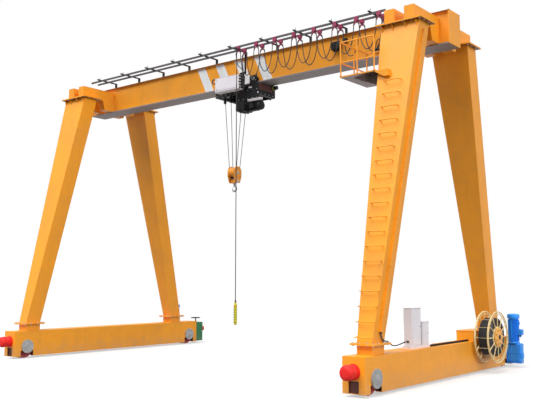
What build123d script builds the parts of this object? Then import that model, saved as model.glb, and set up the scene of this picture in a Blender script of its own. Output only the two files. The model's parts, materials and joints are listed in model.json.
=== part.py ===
from build123d import *
import os
from math import cos, radians, sin, tan

os.makedirs("parts", exist_ok=True)

# Single-girder travelling gantry crane. X runs along the girder, Y along the ground beams, Z is up.
# The floor is Z = 0, the middle of the span is X = 0 and the girder's centre line is Y = 0.

# Main sizes, in millimetres
half_span = 5630
leg_high = 7666
girder_depth = 770
girder_reach_left = 675
girder_reach_right = 600
head_flange = 34
head_box_height = 320
girder_rise = 143
girder_left = half_span + girder_reach_left
girder_right = half_span + girder_reach_right
girder_top = leg_high + head_flange + head_box_height + girder_rise
web_width = 400
flange_width = 520
track_width = 560
plate = 12
top_plate = 20
track_plate = 25
track_low = girder_top - girder_depth
track_top = track_low + track_plate

# Ground beams and travel wheels
beam_width = 500
beam_low = 60
beam_top = 750
beam_near = 3370
beam_far = 3700
end_plate = 20
wheel_radius = 330
tread_radius = 300
wheel_width = 170
tread_width = 110
wheel_near = 2980
wheel_far = 3340
axle_radius = 50
running_gap = 0.05
side_gap = 0.3
notch_width = 400
notch_top = 215
end_slot_width = 230
end_slot_top = 300
wheel_slot_width = 240
wheel_slot_length = 560
cover_radius = 185
cover_depth = 35
buffer_radius = 150
buffer_length = 300
buffer_height = 470

# Legs and what they stand on
leg_base_y = 2757
leg_top_y = 1175
leg_low = 966
leg_base_width = 340
leg_top_width = 920
leg_depth = 450
leg_plate = 10
flange_margin = 100
base_flange = 36
gusset_plate = 12
gusset_height = 160
gusset_reach = 85

# Cross boxes that join the leg heads to the girder
head_box_width = 240
head_box_inset = 265
head_box_outset = 220
head_box_end = 1400
haunch_reach = 380
haunch_splay = 80

# Festoon rails above the girder's near side
rail_inner_y = 620
rail_outer_y = 870
rail_rise = 62
rail_height = 48
rail_width = 32
rail_wall = 4
rail_inset_left = 90
rail_inset_right = 670
rail_overhang = 390
arm_count = 10
rail_low = girder_top + rail_rise
rail_left = half_span - rail_inset_left
rail_right = half_span - rail_inset_right
arm_first = rail_left - rail_overhang
arm_pitch = (rail_left + rail_right - 2 * rail_overhang) / (arm_count - 1)
arm_height = 30
arm_width = 40
arm_reach = 960
arm_root = 60
arm_bolt_radius = 8
arm_bolt_height = 60

# Festoon carriers and their cable loops
carrier_count = 7
tow_x = 536
clamp_inset = 165
clamp_x = rail_right - clamp_inset
carrier_length = 110
carrier_width = 46
carrier_height = 62
carrier_gap = 6
roller_clearance = 1.5
roller_lift = 1
hanger_plate = 6
carrier_cheek = 5
carrier_cheek_gap = 3
saddle_radius = 75
yoke_thickness = 14
tow_arm_width = 60
tow_arm_plate = 12
cable_radius = 11
loop_depth = 640

# Trolley and hoist
trolley_left = 760
trolley_right = 790
end_drop = 343
side_plate = 20
side_plate_y = 330
side_plate_drop = 463
side_plate_rise = 197
frame_drop = 243
side_plate_low = track_low - side_plate_drop
side_plate_high = track_low + side_plate_rise
frame_shallow = track_low - frame_drop
end_low = track_low - end_drop
frame_step = 30
frame_gap = 45
crossbeam = 100
trolley_wheel_radius = 85
trolley_wheel_width = 56
trolley_axle = 22
wheel_inset = 190
wheel_cheek = 240
wheel_web_gap = 8
wheel_lift = 0.3
box_west = 450
box_east = 400
box_front = 720
box_back = 500
box_drop = 203
box_rise = 187
box_base = track_low - box_drop
box_roof = track_low + box_rise
box_bracket = 70
box_bracket_inset = 40
box_bracket_xs = (box_bracket_inset - box_west, box_east - box_bracket_inset - box_bracket)
trolley_buffer_radius = 55
trolley_buffer_length = 110
trolley_buffer_y = 300
trolley_buffer_drop = 20
gearbox_left = 90
gearbox_right = 380
gearbox_front = 480
gearbox_back = 60
gearbox_depth = 310
gearbox_low = side_plate_low - gearbox_depth
hoist_motor_radius = 125
hoist_motor_length = 490
hoist_motor_y = 280
hoist_motor_drop = 170
hoist_motor_z = side_plate_low - hoist_motor_drop
drum_y = 600
drum_rise = 57
drum_z = track_low + drum_rise
drum_radius = 160
drum_left = -740
drum_right = 300
drum_cheek = 25
drum_lead_left = -450
drum_lead_right = -260

# Hook block and ropes
hook_x = -354
sheave_offset = 60
sheave_pitch = 130
sheave_z = 5080
sheave_width = 50
sheave_rim = 12
sheave_axle = 30
rope_radius = 9
fall_near_x = -537
fall_near_y = -200
socket_x = -318
socket_radius = 38
socket_length = 150
socket_clearance = 15
cheek_x = 100
cheek = 22
cheek_width = 310
cheek_drop = 280
cheek_rise = 180
cheek_low = sheave_z - cheek_drop
cheek_top = sheave_z + cheek_rise
crosshead = 90
shank_radius = 28
nut_height = 40
nut_share = 1.6
hook_drop = 65
hook_eye_z = cheek_low - hook_drop
hook_bow = 70
hook_radius = 22

# Pendant control
pendant_x = 556
pendant_y = 960
pendant_top = 1610
pendant_length = 570
pendant_width = 70
pendant_depth = 80


def block(x0, x1, y0, y1, z0, z1, mode=Mode.ADD):
    """Rectangular solid between two limits on each axis."""
    with Locations(((x0 + x1) / 2, (y0 + y1) / 2, (z0 + z1) / 2)):
        Box(x1 - x0, y1 - y0, z1 - z0, mode=mode)


def rod(centre, axis, radius, length, mode=Mode.ADD):
    """Round bar centred on a point, along the named axis."""
    turn = {"x": (0, 90, 0), "y": (90, 0, 0), "z": (0, 0, 0)}[axis]
    with Locations(Location(centre, turn)):
        Cylinder(radius, length, mode=mode)


def finish(piece, name):
    """Label one piece and write its file."""
    piece.part.label = name
    export_step(piece.part, f"parts/{name}.step")


# Girder: two webs and a top flange, with the wider track flange under them
with BuildPart() as girder_box:
    with BuildSketch(Plane.YZ.offset(-girder_left + end_plate)):
        with Locations((0, (track_top + girder_top) / 2)):
            Rectangle(web_width, girder_top - track_top)
        with Locations((0, girder_top - top_plate / 2)):
            Rectangle(flange_width, top_plate)
        with Locations((0, (track_top + girder_top - top_plate) / 2)):
            Rectangle(web_width - 2 * plate, girder_top - top_plate - track_top, mode=Mode.SUBTRACT)
    extrude(amount=girder_left + girder_right - 2 * end_plate)
    for x in (-girder_left, girder_right - end_plate):
        block(x, x + end_plate, -track_width / 2, track_width / 2, track_low, girder_top)
finish(girder_box, "girder_box")

with BuildPart() as girder_track:
    block(-girder_left + end_plate, girder_right - end_plate, -track_width / 2, track_width / 2,
          track_low, track_top)
finish(girder_track, "girder_track_flange")


# Leg heads: two hollow cross boxes a side, each with a haunch down the girder's web
def head_outline(inset):
    """Outline of one cross box and its haunch in the YZ plane, shrunk by a plate's thickness."""
    box_low = leg_high + head_flange
    y0 = web_width / 2
    return [
        (y0 + inset, track_top + inset),
        (y0 + haunch_reach - inset, track_top + inset),
        (y0 + haunch_reach + haunch_splay - inset, box_low + inset),
        (head_box_end - inset, box_low + inset),
        (head_box_end - inset, box_low + head_box_height - inset),
        (y0 + inset, box_low + head_box_height - inset),
    ]


def leg_head(side):
    """The near pair of cross boxes at one end of the girder."""
    for x in (half_span - head_box_inset, half_span + head_box_outset):
        for width, inset, mode in ((head_box_width, 0, Mode.ADD),
                                   (head_box_width - 2 * plate, plate, Mode.SUBTRACT)):
            with BuildSketch(Plane.YZ.offset(side * x - width / 2)) as profile:
                with BuildLine():
                    Polyline(*head_outline(inset), close=True)
                make_face()
            extrude(profile.sketch, amount=width, mode=mode)


with BuildPart() as heads:
    leg_head(-1)
    leg_head(1)
    mirror(about=Plane.XZ)
finish(heads, "leg_head_boxes")


# Legs: tapered boxes that lean in towards the girder
def leg_shape(side, near, shrink=0, mode=Mode.ADD):
    """Tapered leaning box between the foot and the head of one leg."""
    with BuildSketch(Plane.XY.offset(leg_low)) as foot:
        with Locations((side * half_span, near * leg_base_y)):
            Rectangle(leg_base_width - 2 * shrink, leg_depth - 2 * shrink)
    with BuildSketch(Plane.XY.offset(leg_high)) as head:
        with Locations((side * half_span, near * leg_top_y)):
            Rectangle(leg_top_width - 2 * shrink, leg_depth - 2 * shrink)
    loft([foot.sketch.face(), head.sketch.face()], ruled=True, mode=mode)


def leg(side, near):
    """Hollow leg, open at both ends."""
    leg_shape(side, near)
    leg_shape(side, near, leg_plate, Mode.SUBTRACT)


with BuildPart() as left_legs:
    leg(-1, -1)
    leg(-1, 1)
finish(left_legs, "legs_left")

with BuildPart() as right_legs:
    leg(1, -1)
    leg(1, 1)
finish(right_legs, "legs_right")

# Flange plates over the legs, with gussets down the outer face
leg_lean = (leg_base_y - leg_top_y) / (leg_high - leg_low)
with BuildPart() as head_flanges:
    for side in (-1, 1):
        block(side * half_span - leg_top_width / 2 - flange_margin,
              side * half_span + leg_top_width / 2 + flange_margin,
              -leg_top_y - leg_depth / 2 - flange_margin, -leg_top_y + leg_depth / 2 + flange_margin,
              leg_high, leg_high + head_flange)
        face = leg_top_y + leg_depth / 2
        for share in (-0.45, -0.17, 0.17, 0.45):
            x = side * half_span + share * leg_top_width
            with BuildSketch(Plane.YZ.offset(x - gusset_plate / 2)):
                with BuildLine():
                    Polyline((-face, leg_high), (-face - gusset_reach, leg_high),
                             (-face - leg_lean * gusset_height, leg_high - gusset_height), close=True)
                make_face()
            extrude(amount=gusset_plate)
    mirror(about=Plane.XZ)
finish(head_flanges, "leg_head_flanges")

# Pedestals between the ground beams and the legs
with BuildPart() as pedestals:
    for side in (-1, 1):
        x = side * half_span
        block(x - leg_base_width / 2, x + leg_base_width / 2,
              -leg_base_y - leg_depth / 2, -leg_base_y + leg_depth / 2, beam_top, leg_low - base_flange)
        block(x - leg_base_width / 2 - flange_margin, x + leg_base_width / 2 + flange_margin,
              -leg_base_y - leg_depth / 2 - flange_margin, -leg_base_y + leg_depth / 2 + flange_margin,
              leg_low - base_flange, leg_low)
    mirror(about=Plane.XZ)
finish(pedestals, "leg_pedestals")


# Ground beams: hollow boxes, slotted underneath and notched beside the wheels
def ground_beam(side):
    """One hollow ground beam with its wheel openings and slotted end plates."""
    x = side * half_span
    block(x - beam_width / 2, x + beam_width / 2, -beam_near + end_plate, beam_far - end_plate,
          beam_low, beam_top)
    block(x - beam_width / 2 + plate, x + beam_width / 2 - plate, -beam_near + end_plate,
          beam_far - end_plate, beam_low + plate, beam_top - plate, Mode.SUBTRACT)
    for y in (-wheel_near, wheel_far):
        block(x - wheel_slot_width / 2, x + wheel_slot_width / 2, y - wheel_slot_length / 2,
              y + wheel_slot_length / 2, 0, beam_low + plate, Mode.SUBTRACT)
        block(x - beam_width, x + beam_width, y - notch_width / 2, y + notch_width / 2,
              0, notch_top, Mode.SUBTRACT)
        rod((x, y, wheel_radius), "x", axle_radius + running_gap, 2 * beam_width, Mode.SUBTRACT)
    for y in (-beam_near, beam_far - end_plate):
        block(x - beam_width / 2, x + beam_width / 2, y, y + end_plate, beam_low, beam_top)
        block(x - end_slot_width / 2, x + end_slot_width / 2, y, y + end_plate, 0, end_slot_top,
              Mode.SUBTRACT)


with BuildPart() as left_beam:
    ground_beam(-1)
finish(left_beam, "ground_beam_left")

with BuildPart() as right_beam:
    ground_beam(1)
finish(right_beam, "ground_beam_right")

# Bearing covers over the wheel axles
drive_sides = {(-1, "far"): -1, (1, "far"): 1}
with BuildPart() as covers:
    for side in (-1, 1):
        for end, y in (("near", -wheel_near), ("far", wheel_far)):
            for face in (-1, 1):
                if drive_sides.get((side, end)) == face:
                    continue
                x = side * half_span + face * (beam_width + cover_depth) / 2
                rod((x, y, wheel_radius), "x", cover_radius, cover_depth)
                rod((x, y, wheel_radius), "x", axle_radius + running_gap, cover_depth, Mode.SUBTRACT)
finish(covers, "bearing_covers")


# Travel wheels, each fixed on its axle
def travel_wheel(side, y):
    """Double-flanged wheel and its axle."""
    x = side * half_span
    with BuildSketch(Plane.XZ.offset(-y)) as profile:
        with BuildLine():
            half = wheel_width / 2
            tread = tread_width / 2
            Polyline((x - half, wheel_radius), (x - half, 2 * wheel_radius), (x - tread, 2 * wheel_radius),
                     (x - tread, wheel_radius + tread_radius), (x + tread, wheel_radius + tread_radius),
                     (x + tread, 2 * wheel_radius), (x + half, 2 * wheel_radius), (x + half, wheel_radius),
                     close=True)
        make_face()
    revolve(profile.sketch, axis=Axis((x, y, wheel_radius), (1, 0, 0)))
    reach = beam_width / 2 + cover_depth
    rod((x, y, wheel_radius), "x", axle_radius, 2 * reach)


with BuildPart() as wheel_near_left:
    travel_wheel(-1, -wheel_near)
finish(wheel_near_left, "wheel_near_left")

with BuildPart() as wheel_near_right:
    travel_wheel(1, -wheel_near)
finish(wheel_near_right, "wheel_near_right")

with BuildPart() as wheel_far_left:
    travel_wheel(-1, wheel_far)
finish(wheel_far_left, "wheel_far_left")

with BuildPart() as wheel_far_right:
    travel_wheel(1, wheel_far)
finish(wheel_far_right, "wheel_far_right")

# Travel drives: a gearbox on each far wheel with an upright motor over it
drive_depth = 200
drive_width = 400
drive_low = 110
drive_top = 620
motor_radius = 140
motor_top = 1210
cowl_radius = 150
cowl_height = 110
motor_share = 0.42
with BuildPart() as drives:
    for side in (-1, 1):
        face = side * (half_span + beam_width / 2)
        x0, x1 = sorted((face, face + side * drive_width))
        block(x0, x1, wheel_far - drive_depth / 2, wheel_far + drive_depth / 2, drive_low, drive_top)
        rod((face + side * cover_depth / 2, wheel_far, wheel_radius), "x", axle_radius + running_gap,
            cover_depth + 2 * side_gap, Mode.SUBTRACT)
    for side in (-1, 1):
        x = side * (half_span + beam_width / 2 + drive_width * motor_share)
        middle = (drive_top + motor_top) / 2
        rod((x, wheel_far, middle), "z", motor_radius, motor_top - drive_top)
        rod((x, wheel_far, motor_top + cowl_height / 2), "z", cowl_radius, cowl_height)
finish(drives, "travel_drives")

# Rail clamp beyond the left beam's far end, with its handwheel
clamp_width = 280
clamp_length = 420
clamp_low = 60
clamp_top = 700
clamp_cheek = 40
clamp_buffer_radius = 90
clamp_buffer_length = 160
screw_radius = 20
hand_radius = 150
hand_tube = 14
hand_height = 850
hub_radius = 32
spoke_radius = 9
clamp_y = beam_far + clamp_length / 2
with BuildPart() as clamp:
    block(-half_span - clamp_width / 2, -half_span + clamp_width / 2, beam_far, beam_far + clamp_length,
          clamp_low, clamp_top)
    block(-half_span - clamp_width / 2 + clamp_cheek, -half_span + clamp_width / 2 - clamp_cheek,
          beam_far + clamp_cheek, beam_far + clamp_length - clamp_cheek, 0, clamp_top / 2, Mode.SUBTRACT)
    rod((-half_span, clamp_y, clamp_top), "z", screw_radius + running_gap, clamp_top, Mode.SUBTRACT)
finish(clamp, "rail_clamp")

# Buffers on the beam ends, with a smaller one beyond the clamp
with BuildPart() as buffers:
    for x, y in ((-half_span, -beam_near - buffer_length / 2), (half_span, -beam_near - buffer_length / 2),
                 (half_span, beam_far + buffer_length / 2)):
        rod((x, y, buffer_height), "y", buffer_radius, buffer_length)
    rod((-half_span, beam_far + clamp_length + clamp_buffer_length / 2, buffer_height), "y",
        clamp_buffer_radius, clamp_buffer_length)
finish(buffers, "beam_buffers")

with BuildPart() as handwheel:
    screw_low = clamp_top / 2 + side_gap
    rod((-half_span, clamp_y, (screw_low + hand_height) / 2), "z", screw_radius, hand_height - screw_low)
    rod((-half_span, clamp_y, hand_height), "z", hub_radius, hub_radius)
    with Locations((-half_span, clamp_y, hand_height)):
        Torus(hand_radius, hand_tube)
    for k in range(3):
        turn = radians(120 * k + 30)
        along = (cos(turn), sin(turn), 0)
        with BuildSketch(Plane(origin=(-half_span, clamp_y, hand_height), z_dir=along)) as spoke:
            Circle(spoke_radius)
        extrude(spoke.sketch, amount=hand_radius)
finish(handwheel, "clamp_handwheel")

# Electric cabinets on the right beam
cabinet_x = 120
cabinet_depth = 200
tall_near = 1330
tall_width = 400
tall_height = 780
small_gap = 60
small_width = 290
small_height = 480
cabinet_frame = 60
with BuildPart() as frame_strip:
    block(half_span + cabinet_x - cabinet_depth, half_span + cabinet_x, -tall_near - small_gap,
          -tall_near + tall_width + 2 * small_gap + small_width, beam_top, beam_top + cabinet_frame)
finish(frame_strip, "cabinet_frame")

with BuildPart() as cabinets:
    block(half_span + cabinet_x - cabinet_depth, half_span + cabinet_x, -tall_near,
          -tall_near + tall_width, beam_top + cabinet_frame, beam_top + cabinet_frame + tall_height)

    small_near = tall_near - tall_width - small_gap
    block(half_span + cabinet_x - cabinet_depth, half_span + cabinet_x, -small_near,
          -small_near + small_width, beam_top + cabinet_frame, beam_top + cabinet_frame + small_height)
finish(cabinets, "electric_cabinets")

# Cable conduit up the near right leg's outer side, and the cable from its foot to the tall cabinet
conduit_width = 70
conduit_depth = 50
conduit_low = 1180
conduit_drop = 186
conduit_high = leg_high - conduit_drop


def leg_at(z):
    """Centre distance in Y and half width in X of a leg at one height."""
    share = (z - leg_low) / (leg_high - leg_low)
    return (leg_base_y + (leg_top_y - leg_base_y) * share,
            (leg_base_width + (leg_top_width - leg_base_width) * share) / 2)


with BuildPart() as conduit:
    for z in (conduit_low, conduit_high):
        y, half = leg_at(z)
        with BuildSketch(Plane.XY.offset(z)):
            with Locations((half_span + half + conduit_depth / 2, -y)):
                Rectangle(conduit_depth, conduit_width)
    loft(ruled=True)
finish(conduit, "leg_conduit")

lead_radius = 9
lead_shares = [(0, 0, 430), (0, 0, 355), (0, 0.032, 282), (0, 0.092, 245), (0.04, 0.20, 237),
               (0.3, 0.31, 172), (0.6, 0.45, 122), (0.85, 0.62, 104), (1, 0.78, 122), (1, 0.90, 150), (1, 1, 150)]


def smooth_radii(route):
    """Bend radius at each inner point, from the shorter run beside it."""
    radii = []
    for a, b, c in zip(route, route[1:], route[2:]):
        before, after = Vector(*b) - Vector(*a), Vector(*c) - Vector(*b)
        turn = radians(before.get_angle(after))
        radii.append(0.45 * min(before.length, after.length) / tan(turn / 2))
    return radii


def cable(route, radius):
    """Round cable along straight runs joined by tangent arcs."""
    with BuildLine() as path:
        FilletPolyline(*route, radius=smooth_radii(route))
    start = Plane(origin=route[0], z_dir=Vector(*route[1]) - Vector(*route[0]))
    with BuildSketch(start) as section:
        Circle(radius)
    sweep(section.sketch, path=path.line)


with BuildPart() as lead:
    y, half = leg_at(conduit_low)
    start = (half_span + half + conduit_depth / 2, -y)
    goal = (half_span + cabinet_x - cabinet_depth / 2, -tall_near)
    route = [(start[0] + (goal[0] - start[0]) * u, start[1] + (goal[1] - start[1]) * v, beam_top + h)
             for u, v, h in lead_shares]
    cable(route, lead_radius)
print("cabinet lead radii", [round(r) for r in smooth_radii(route)])
finish(lead, "cabinet_lead")

# Cable reel on the right beam: its stand, two hoops with spokes, and the coil
reel_y = 1810
reel_z = 840
reel_gap = 315
reel_depth = 340
reel_back = half_span + reel_gap
reel_front = reel_back + reel_depth
hoop_radius = 600
hoop_tube = 14
coil_radius = 440
coil_inner = 250
hub_disc_radius = 220
hub_disc_depth = 40
shaft_radius = 35
spoke_count = 8
stand_near = 1350
stand_far = 2100
stand_height = 240
stand_inset = 180
stand_outset = 240
stand_back = half_span - stand_inset
stand_front = half_span + stand_outset
with BuildPart() as stand:
    block(stand_back, stand_front, stand_near, stand_far, beam_top, beam_top + stand_height)
    rod((stand_front, reel_y, reel_z), "x", shaft_radius + running_gap, 2 * (stand_front - stand_back) / 3,
        Mode.SUBTRACT)
finish(stand, "reel_stand")

with BuildPart() as reel:
    for x in (reel_back + hoop_tube, reel_front - hoop_tube):
        rod((x, reel_y, reel_z), "x", hoop_radius, 2 * hoop_tube)
        rod((x, reel_y, reel_z), "x", hoop_radius - 2 * hoop_tube, 2 * hoop_tube, Mode.SUBTRACT)
    for x in (reel_back + hoop_tube, reel_front - hoop_tube):
        for k in range(spoke_count):
            turn = radians(360 * k / spoke_count)
            with BuildSketch(Plane(origin=(x, reel_y, reel_z), z_dir=(0, cos(turn), sin(turn)))) as spoke:
                Circle(spoke_radius)
            extrude(spoke.sketch, amount=hoop_radius - hoop_tube)
    shaft_low = stand_front - (stand_front - stand_back) / 3 + side_gap
    rod(((shaft_low + reel_front) / 2, reel_y, reel_z), "x", shaft_radius, reel_front - shaft_low)
    rod(((reel_back + reel_front) / 2, reel_y, reel_z), "x", coil_inner,
        reel_front - reel_back - 4 * hoop_tube)
finish(reel, "reel_frame")

with BuildPart() as coil:
    x = (reel_back + reel_front) / 2
    depth = reel_front - reel_back - 4 * hoop_tube
    rod((x, reel_y, reel_z), "x", coil_radius, depth)
    rod((x, reel_y, reel_z), "x", coil_inner, depth, Mode.SUBTRACT)
finish(coil, "reel_cable_coil")

with BuildPart() as hub_disc:
    rod((reel_front + hub_disc_depth / 2, reel_y, reel_z), "x", hub_disc_radius, hub_disc_depth)
finish(hub_disc, "reel_hub_disc")

# Ladder rungs up the near right leg's outer face
rung_pitch = 292
rung_reach = 110
rung_first = 1080
floor_drop = 1066
floor_z = leg_high - floor_drop
rung_last = floor_z - rung_reach
rung_width = 370
rung_radius = 11
with BuildPart() as rungs:
    for k in range(int((rung_last - rung_first) / rung_pitch) + 1):
        z = rung_first + k * rung_pitch
        y = -leg_at(z)[0] - leg_depth / 2
        left, right = half_span - rung_width / 2, half_span + rung_width / 2
        with BuildLine():
            Polyline((left, y + leg_plate, z), (left, y - rung_reach, z), (right, y - rung_reach, z),
                     (right, y + leg_plate, z))
        with BuildSketch(Plane(origin=(left, y + leg_plate, z), z_dir=(0, -1, 0))):
            RegularPolygon(rung_radius, 8)
        sweep(transition=Transition.RIGHT)
    leg_shape(1, -1, 0, Mode.SUBTRACT)
finish(rungs, "ladder_rungs")

# Access platform inside the near right leg
floor_length = 1320
floor_left = half_span - floor_length
floor_near = 1765
floor_far = 640
floor_plate = 30
bracket_height = 260
bracket_plate = 12
post_side = 34
rail_heights = (320, 850)
floor_right = half_span - leg_at(floor_z)[1]
with BuildPart() as platform:
    block(floor_left, floor_right + leg_top_width / 2, -floor_near, -floor_far, floor_z, floor_z + floor_plate)
    block(floor_right + leg_plate, floor_right + leg_top_width, -floor_near - floor_plate,
          -floor_far + floor_plate, floor_z - floor_plate, floor_z + 2 * floor_plate, Mode.SUBTRACT)
    for y in (-floor_near + leg_depth / 2, -floor_near + leg_depth):
        with BuildSketch(Plane.XZ.offset(-y)):
            with BuildLine():
                Polyline((floor_left + leg_depth / 2, floor_z), (floor_right + leg_depth / 2, floor_z),
                         (floor_right + leg_depth / 2, floor_z - bracket_height),
                         (floor_right, floor_z - bracket_height), close=True)
            make_face()
        extrude(amount=bracket_plate)
    leg_shape(1, -1, 0, Mode.SUBTRACT)
finish(platform, "platform_floor")

with BuildPart() as railing:
    top = floor_z + floor_plate
    leg_end, free_end = floor_right - post_side, floor_left + post_side / 2
    near_side, far_side = -floor_near + post_side / 2, -floor_far - post_side / 2
    corners = [(leg_end, near_side), (free_end, near_side), (free_end, far_side), (leg_end, far_side)]
    for (ax, ay), (bx, by) in zip(corners, corners[1:]):
        for share in (0, 0.5, 1):
            x, y = ax + (bx - ax) * share, ay + (by - ay) * share
            block(x - post_side / 2, x + post_side / 2, y - post_side / 2, y + post_side / 2, top,
                  top + rail_heights[-1])
        for height in rail_heights:
            block(min(ax, bx) - post_side / 2, max(ax, bx) + post_side / 2, min(ay, by) - post_side / 2,
                  max(ay, by) + post_side / 2, top + height - post_side, top + height)
finish(railing, "platform_railing")

# Festoon rails, the arms that hold them, and the junction box on the web
with BuildPart() as festoon_rails:
    for y in (-rail_inner_y, -rail_outer_y):
        with BuildSketch(Plane.YZ.offset(-rail_left)):
            with Locations((y, rail_low + rail_height / 2)):
                Rectangle(rail_width, rail_height)
                Rectangle(rail_width - 2 * rail_wall, rail_height - 2 * rail_wall, mode=Mode.SUBTRACT)
            with Locations((y, rail_low)):
                Rectangle(rail_width / 3, 2 * rail_wall, mode=Mode.SUBTRACT)
        extrude(amount=rail_left + rail_right)
finish(festoon_rails, "festoon_rails")

rail_top = rail_low + rail_height
with BuildPart() as arms:
    for k in range(arm_count):
        x = -arm_first + k * arm_pitch
        block(x - arm_width / 2, x + arm_width / 2, -arm_reach, arm_root - flange_width / 2, rail_top,
              rail_top + arm_height)
        block(x - arm_width / 2, x + arm_width / 2, -flange_width / 2, arm_root - flange_width / 2,
              girder_top, rail_top)
        for y in (-rail_inner_y, -rail_outer_y):
            rod((x, y, rail_top + arm_height + arm_bolt_height / 2), "z", arm_bolt_radius, arm_bolt_height)
finish(arms, "festoon_arms")

junction_inset = 2290
junction_length = 240
junction_height = 200
junction_depth = 150
junction_drop = 173
socket_box_side = 110
socket_box_depth = 80
socket_box_gap = 60
socket_box_drop = 113
junction_right = half_span - junction_inset
with BuildPart() as junction:
    for x, long, high, deep, drop in (
            (junction_right - junction_length, junction_length, junction_height, junction_depth, junction_drop),
            (junction_right + socket_box_gap, socket_box_side, socket_box_side, socket_box_depth,
             socket_box_drop)):
        block(x, x + long, -web_width / 2 - deep, -web_width / 2, girder_top - drop - high, girder_top - drop)
finish(junction, "junction_box")


# Festoon carriers: a roller block in each rail, joined by a yoke with two cable saddles
carrier_pitch = (clamp_x - tow_x) / carrier_count


cheek_reach = rail_width / 2 + carrier_cheek_gap
saddle_z = rail_low - carrier_gap - carrier_height - saddle_radius - cable_radius


def carrier(x):
    """One carrier across both rails, with a saddle below each that the cables lie over."""
    for y in (-rail_inner_y, -rail_outer_y):
        block(x - carrier_length / 2, x + carrier_length / 2, y - rail_width / 2 + rail_wall + roller_clearance,
              y + rail_width / 2 - rail_wall - roller_clearance, rail_low + rail_wall + roller_lift,
              rail_low + rail_height / 2)
        block(x - carrier_length / 2, x + carrier_length / 2, y - hanger_plate / 2, y + hanger_plate / 2,
              rail_low - carrier_gap, rail_low + rail_height / 2)
        block(x - carrier_length / 2, x + carrier_length / 2, y - carrier_width / 2, y + carrier_width / 2,
              rail_low - carrier_gap - carrier_height, rail_low - carrier_gap)
        for side in (-1, 1):
            y0, y1 = sorted((y + side * cheek_reach, y + side * (cheek_reach + carrier_cheek)))
            block(x - carrier_length / 2, x + carrier_length / 2, y0, y1, rail_low - carrier_gap - carrier_height,
                  rail_low + rail_height - carrier_gap)
        rod((x, y, saddle_z), "y", saddle_radius + cable_radius, carrier_width)
        block(x - saddle_radius - carrier_width, x + saddle_radius + carrier_width, y - carrier_width,
              y + carrier_width, saddle_z - saddle_radius - carrier_width, saddle_z, Mode.SUBTRACT)
    block(x - yoke_thickness, x + yoke_thickness, -rail_outer_y, -rail_inner_y,
          rail_low - carrier_gap - carrier_height / 2 - yoke_thickness, rail_low - carrier_gap - carrier_height / 2)


yoke_low = rail_low - carrier_gap - carrier_height / 2 - yoke_thickness
for k in range(carrier_count + 1):
    name = f"festoon_carrier_{k}"
    with BuildPart() as piece:
        carrier(tow_x + k * carrier_pitch)
        if k == 0:
            name = "festoon_tow_carrier"
            back = -rail_inner_y + carrier_width / 2
            block(tow_x - tow_arm_width / 2, tow_x + tow_arm_width / 2, back, back + tow_arm_plate,
                  box_roof, rail_low - carrier_gap)
            block(box_east - tow_arm_width, tow_x + tow_arm_width / 2, back, back + tow_arm_plate, box_roof,
                  box_roof + tow_arm_width)
            block(tow_x - yoke_thickness, tow_x + 3 * yoke_thickness, -pendant_y - 2 * yoke_thickness,
                  -rail_outer_y, yoke_low, yoke_low + yoke_thickness)
        elif k == carrier_count:
            name = "festoon_end_clamp"
    finish(piece, name)

# Cable loops hanging between the carriers, one on each rail
loop_shares = [(0, 0), (0, 0.2), (0.16, 0.8), (0.5, 1.05), (0.84, 0.8), (1, 0.2), (1, 0)]
for k in range(carrier_count):
    x0 = tow_x + k * carrier_pitch + saddle_radius
    x1 = tow_x + (k + 1) * carrier_pitch - saddle_radius
    with BuildPart() as loop:
        for y in (-rail_inner_y, -rail_outer_y):
            route = [(x0 + (x1 - x0) * s, y, saddle_z - loop_depth * d) for s, d in loop_shares]
            cable(route, cable_radius)
    if k == 0:
        print("festoon loop radii", [round(r) for r in smooth_radii(route)])
    finish(loop, f"festoon_loop_{k + 1}")

# Trolley: side plates on four wheels that run on the track flange
wheel_axle_z = track_top + trolley_wheel_radius
wheel_y = web_width / 2 + trolley_wheel_width / 2 + wheel_web_gap
wheel_xs = (-trolley_left + wheel_inset, trolley_right - wheel_inset)
frame_top = track_low - frame_gap
with BuildPart() as trolley_frame:
    for side in (-1, 1):
        y0, y1 = sorted((side * side_plate_y, side * (side_plate_y + side_plate)))
        for x in wheel_xs:
            block(x - wheel_cheek / 2, x + wheel_cheek / 2, y0, y1, frame_shallow, side_plate_high)
        block(-trolley_left, trolley_right, y0, y1, frame_shallow, frame_top)
        block(frame_step, trolley_right, y0, y1, side_plate_low if side < 0 else end_low, frame_top)
        for x in wheel_xs:
            rod((x, side * (side_plate_y + side_plate / 2), wheel_axle_z + wheel_lift), "y", trolley_axle,
                2 * side_plate, Mode.SUBTRACT)
    rod((trolley_right + trolley_buffer_length / 2, trolley_buffer_y, frame_top - trolley_buffer_drop), "x",
        trolley_buffer_radius, trolley_buffer_length)
    for x, low in ((-trolley_left, frame_shallow), (trolley_right - crossbeam, end_low),
                   (frame_step, side_plate_low)):
        block(x, x + crossbeam, -side_plate_y, side_plate_y, low, frame_top)
    block(fall_near_x - crossbeam / 2, socket_x + crossbeam / 2, -side_plate_y, fall_near_y + crossbeam / 2,
          frame_shallow, frame_top)
    for x in (fall_near_x, socket_x):
        rod((x, fall_near_y, frame_shallow - socket_length / 2), "z", socket_radius, socket_length)
        rod((x, fall_near_y, frame_shallow - socket_length / 2), "z", rope_radius + socket_clearance,
            socket_length, Mode.SUBTRACT)
    for x in box_bracket_xs:
        block(x, x + box_bracket, -box_back, -side_plate_y - side_plate, frame_top - box_bracket, frame_top)
    for x in (drum_left - drum_cheek, drum_right):
        block(x, x + drum_cheek, side_plate_y + side_plate, drum_y + drum_radius, frame_shallow,
              drum_z + drum_radius / 2)
        rod((x + drum_cheek / 2, drum_y, drum_z), "x", drum_radius, drum_cheek)
finish(trolley_frame, "trolley_frame")

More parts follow.
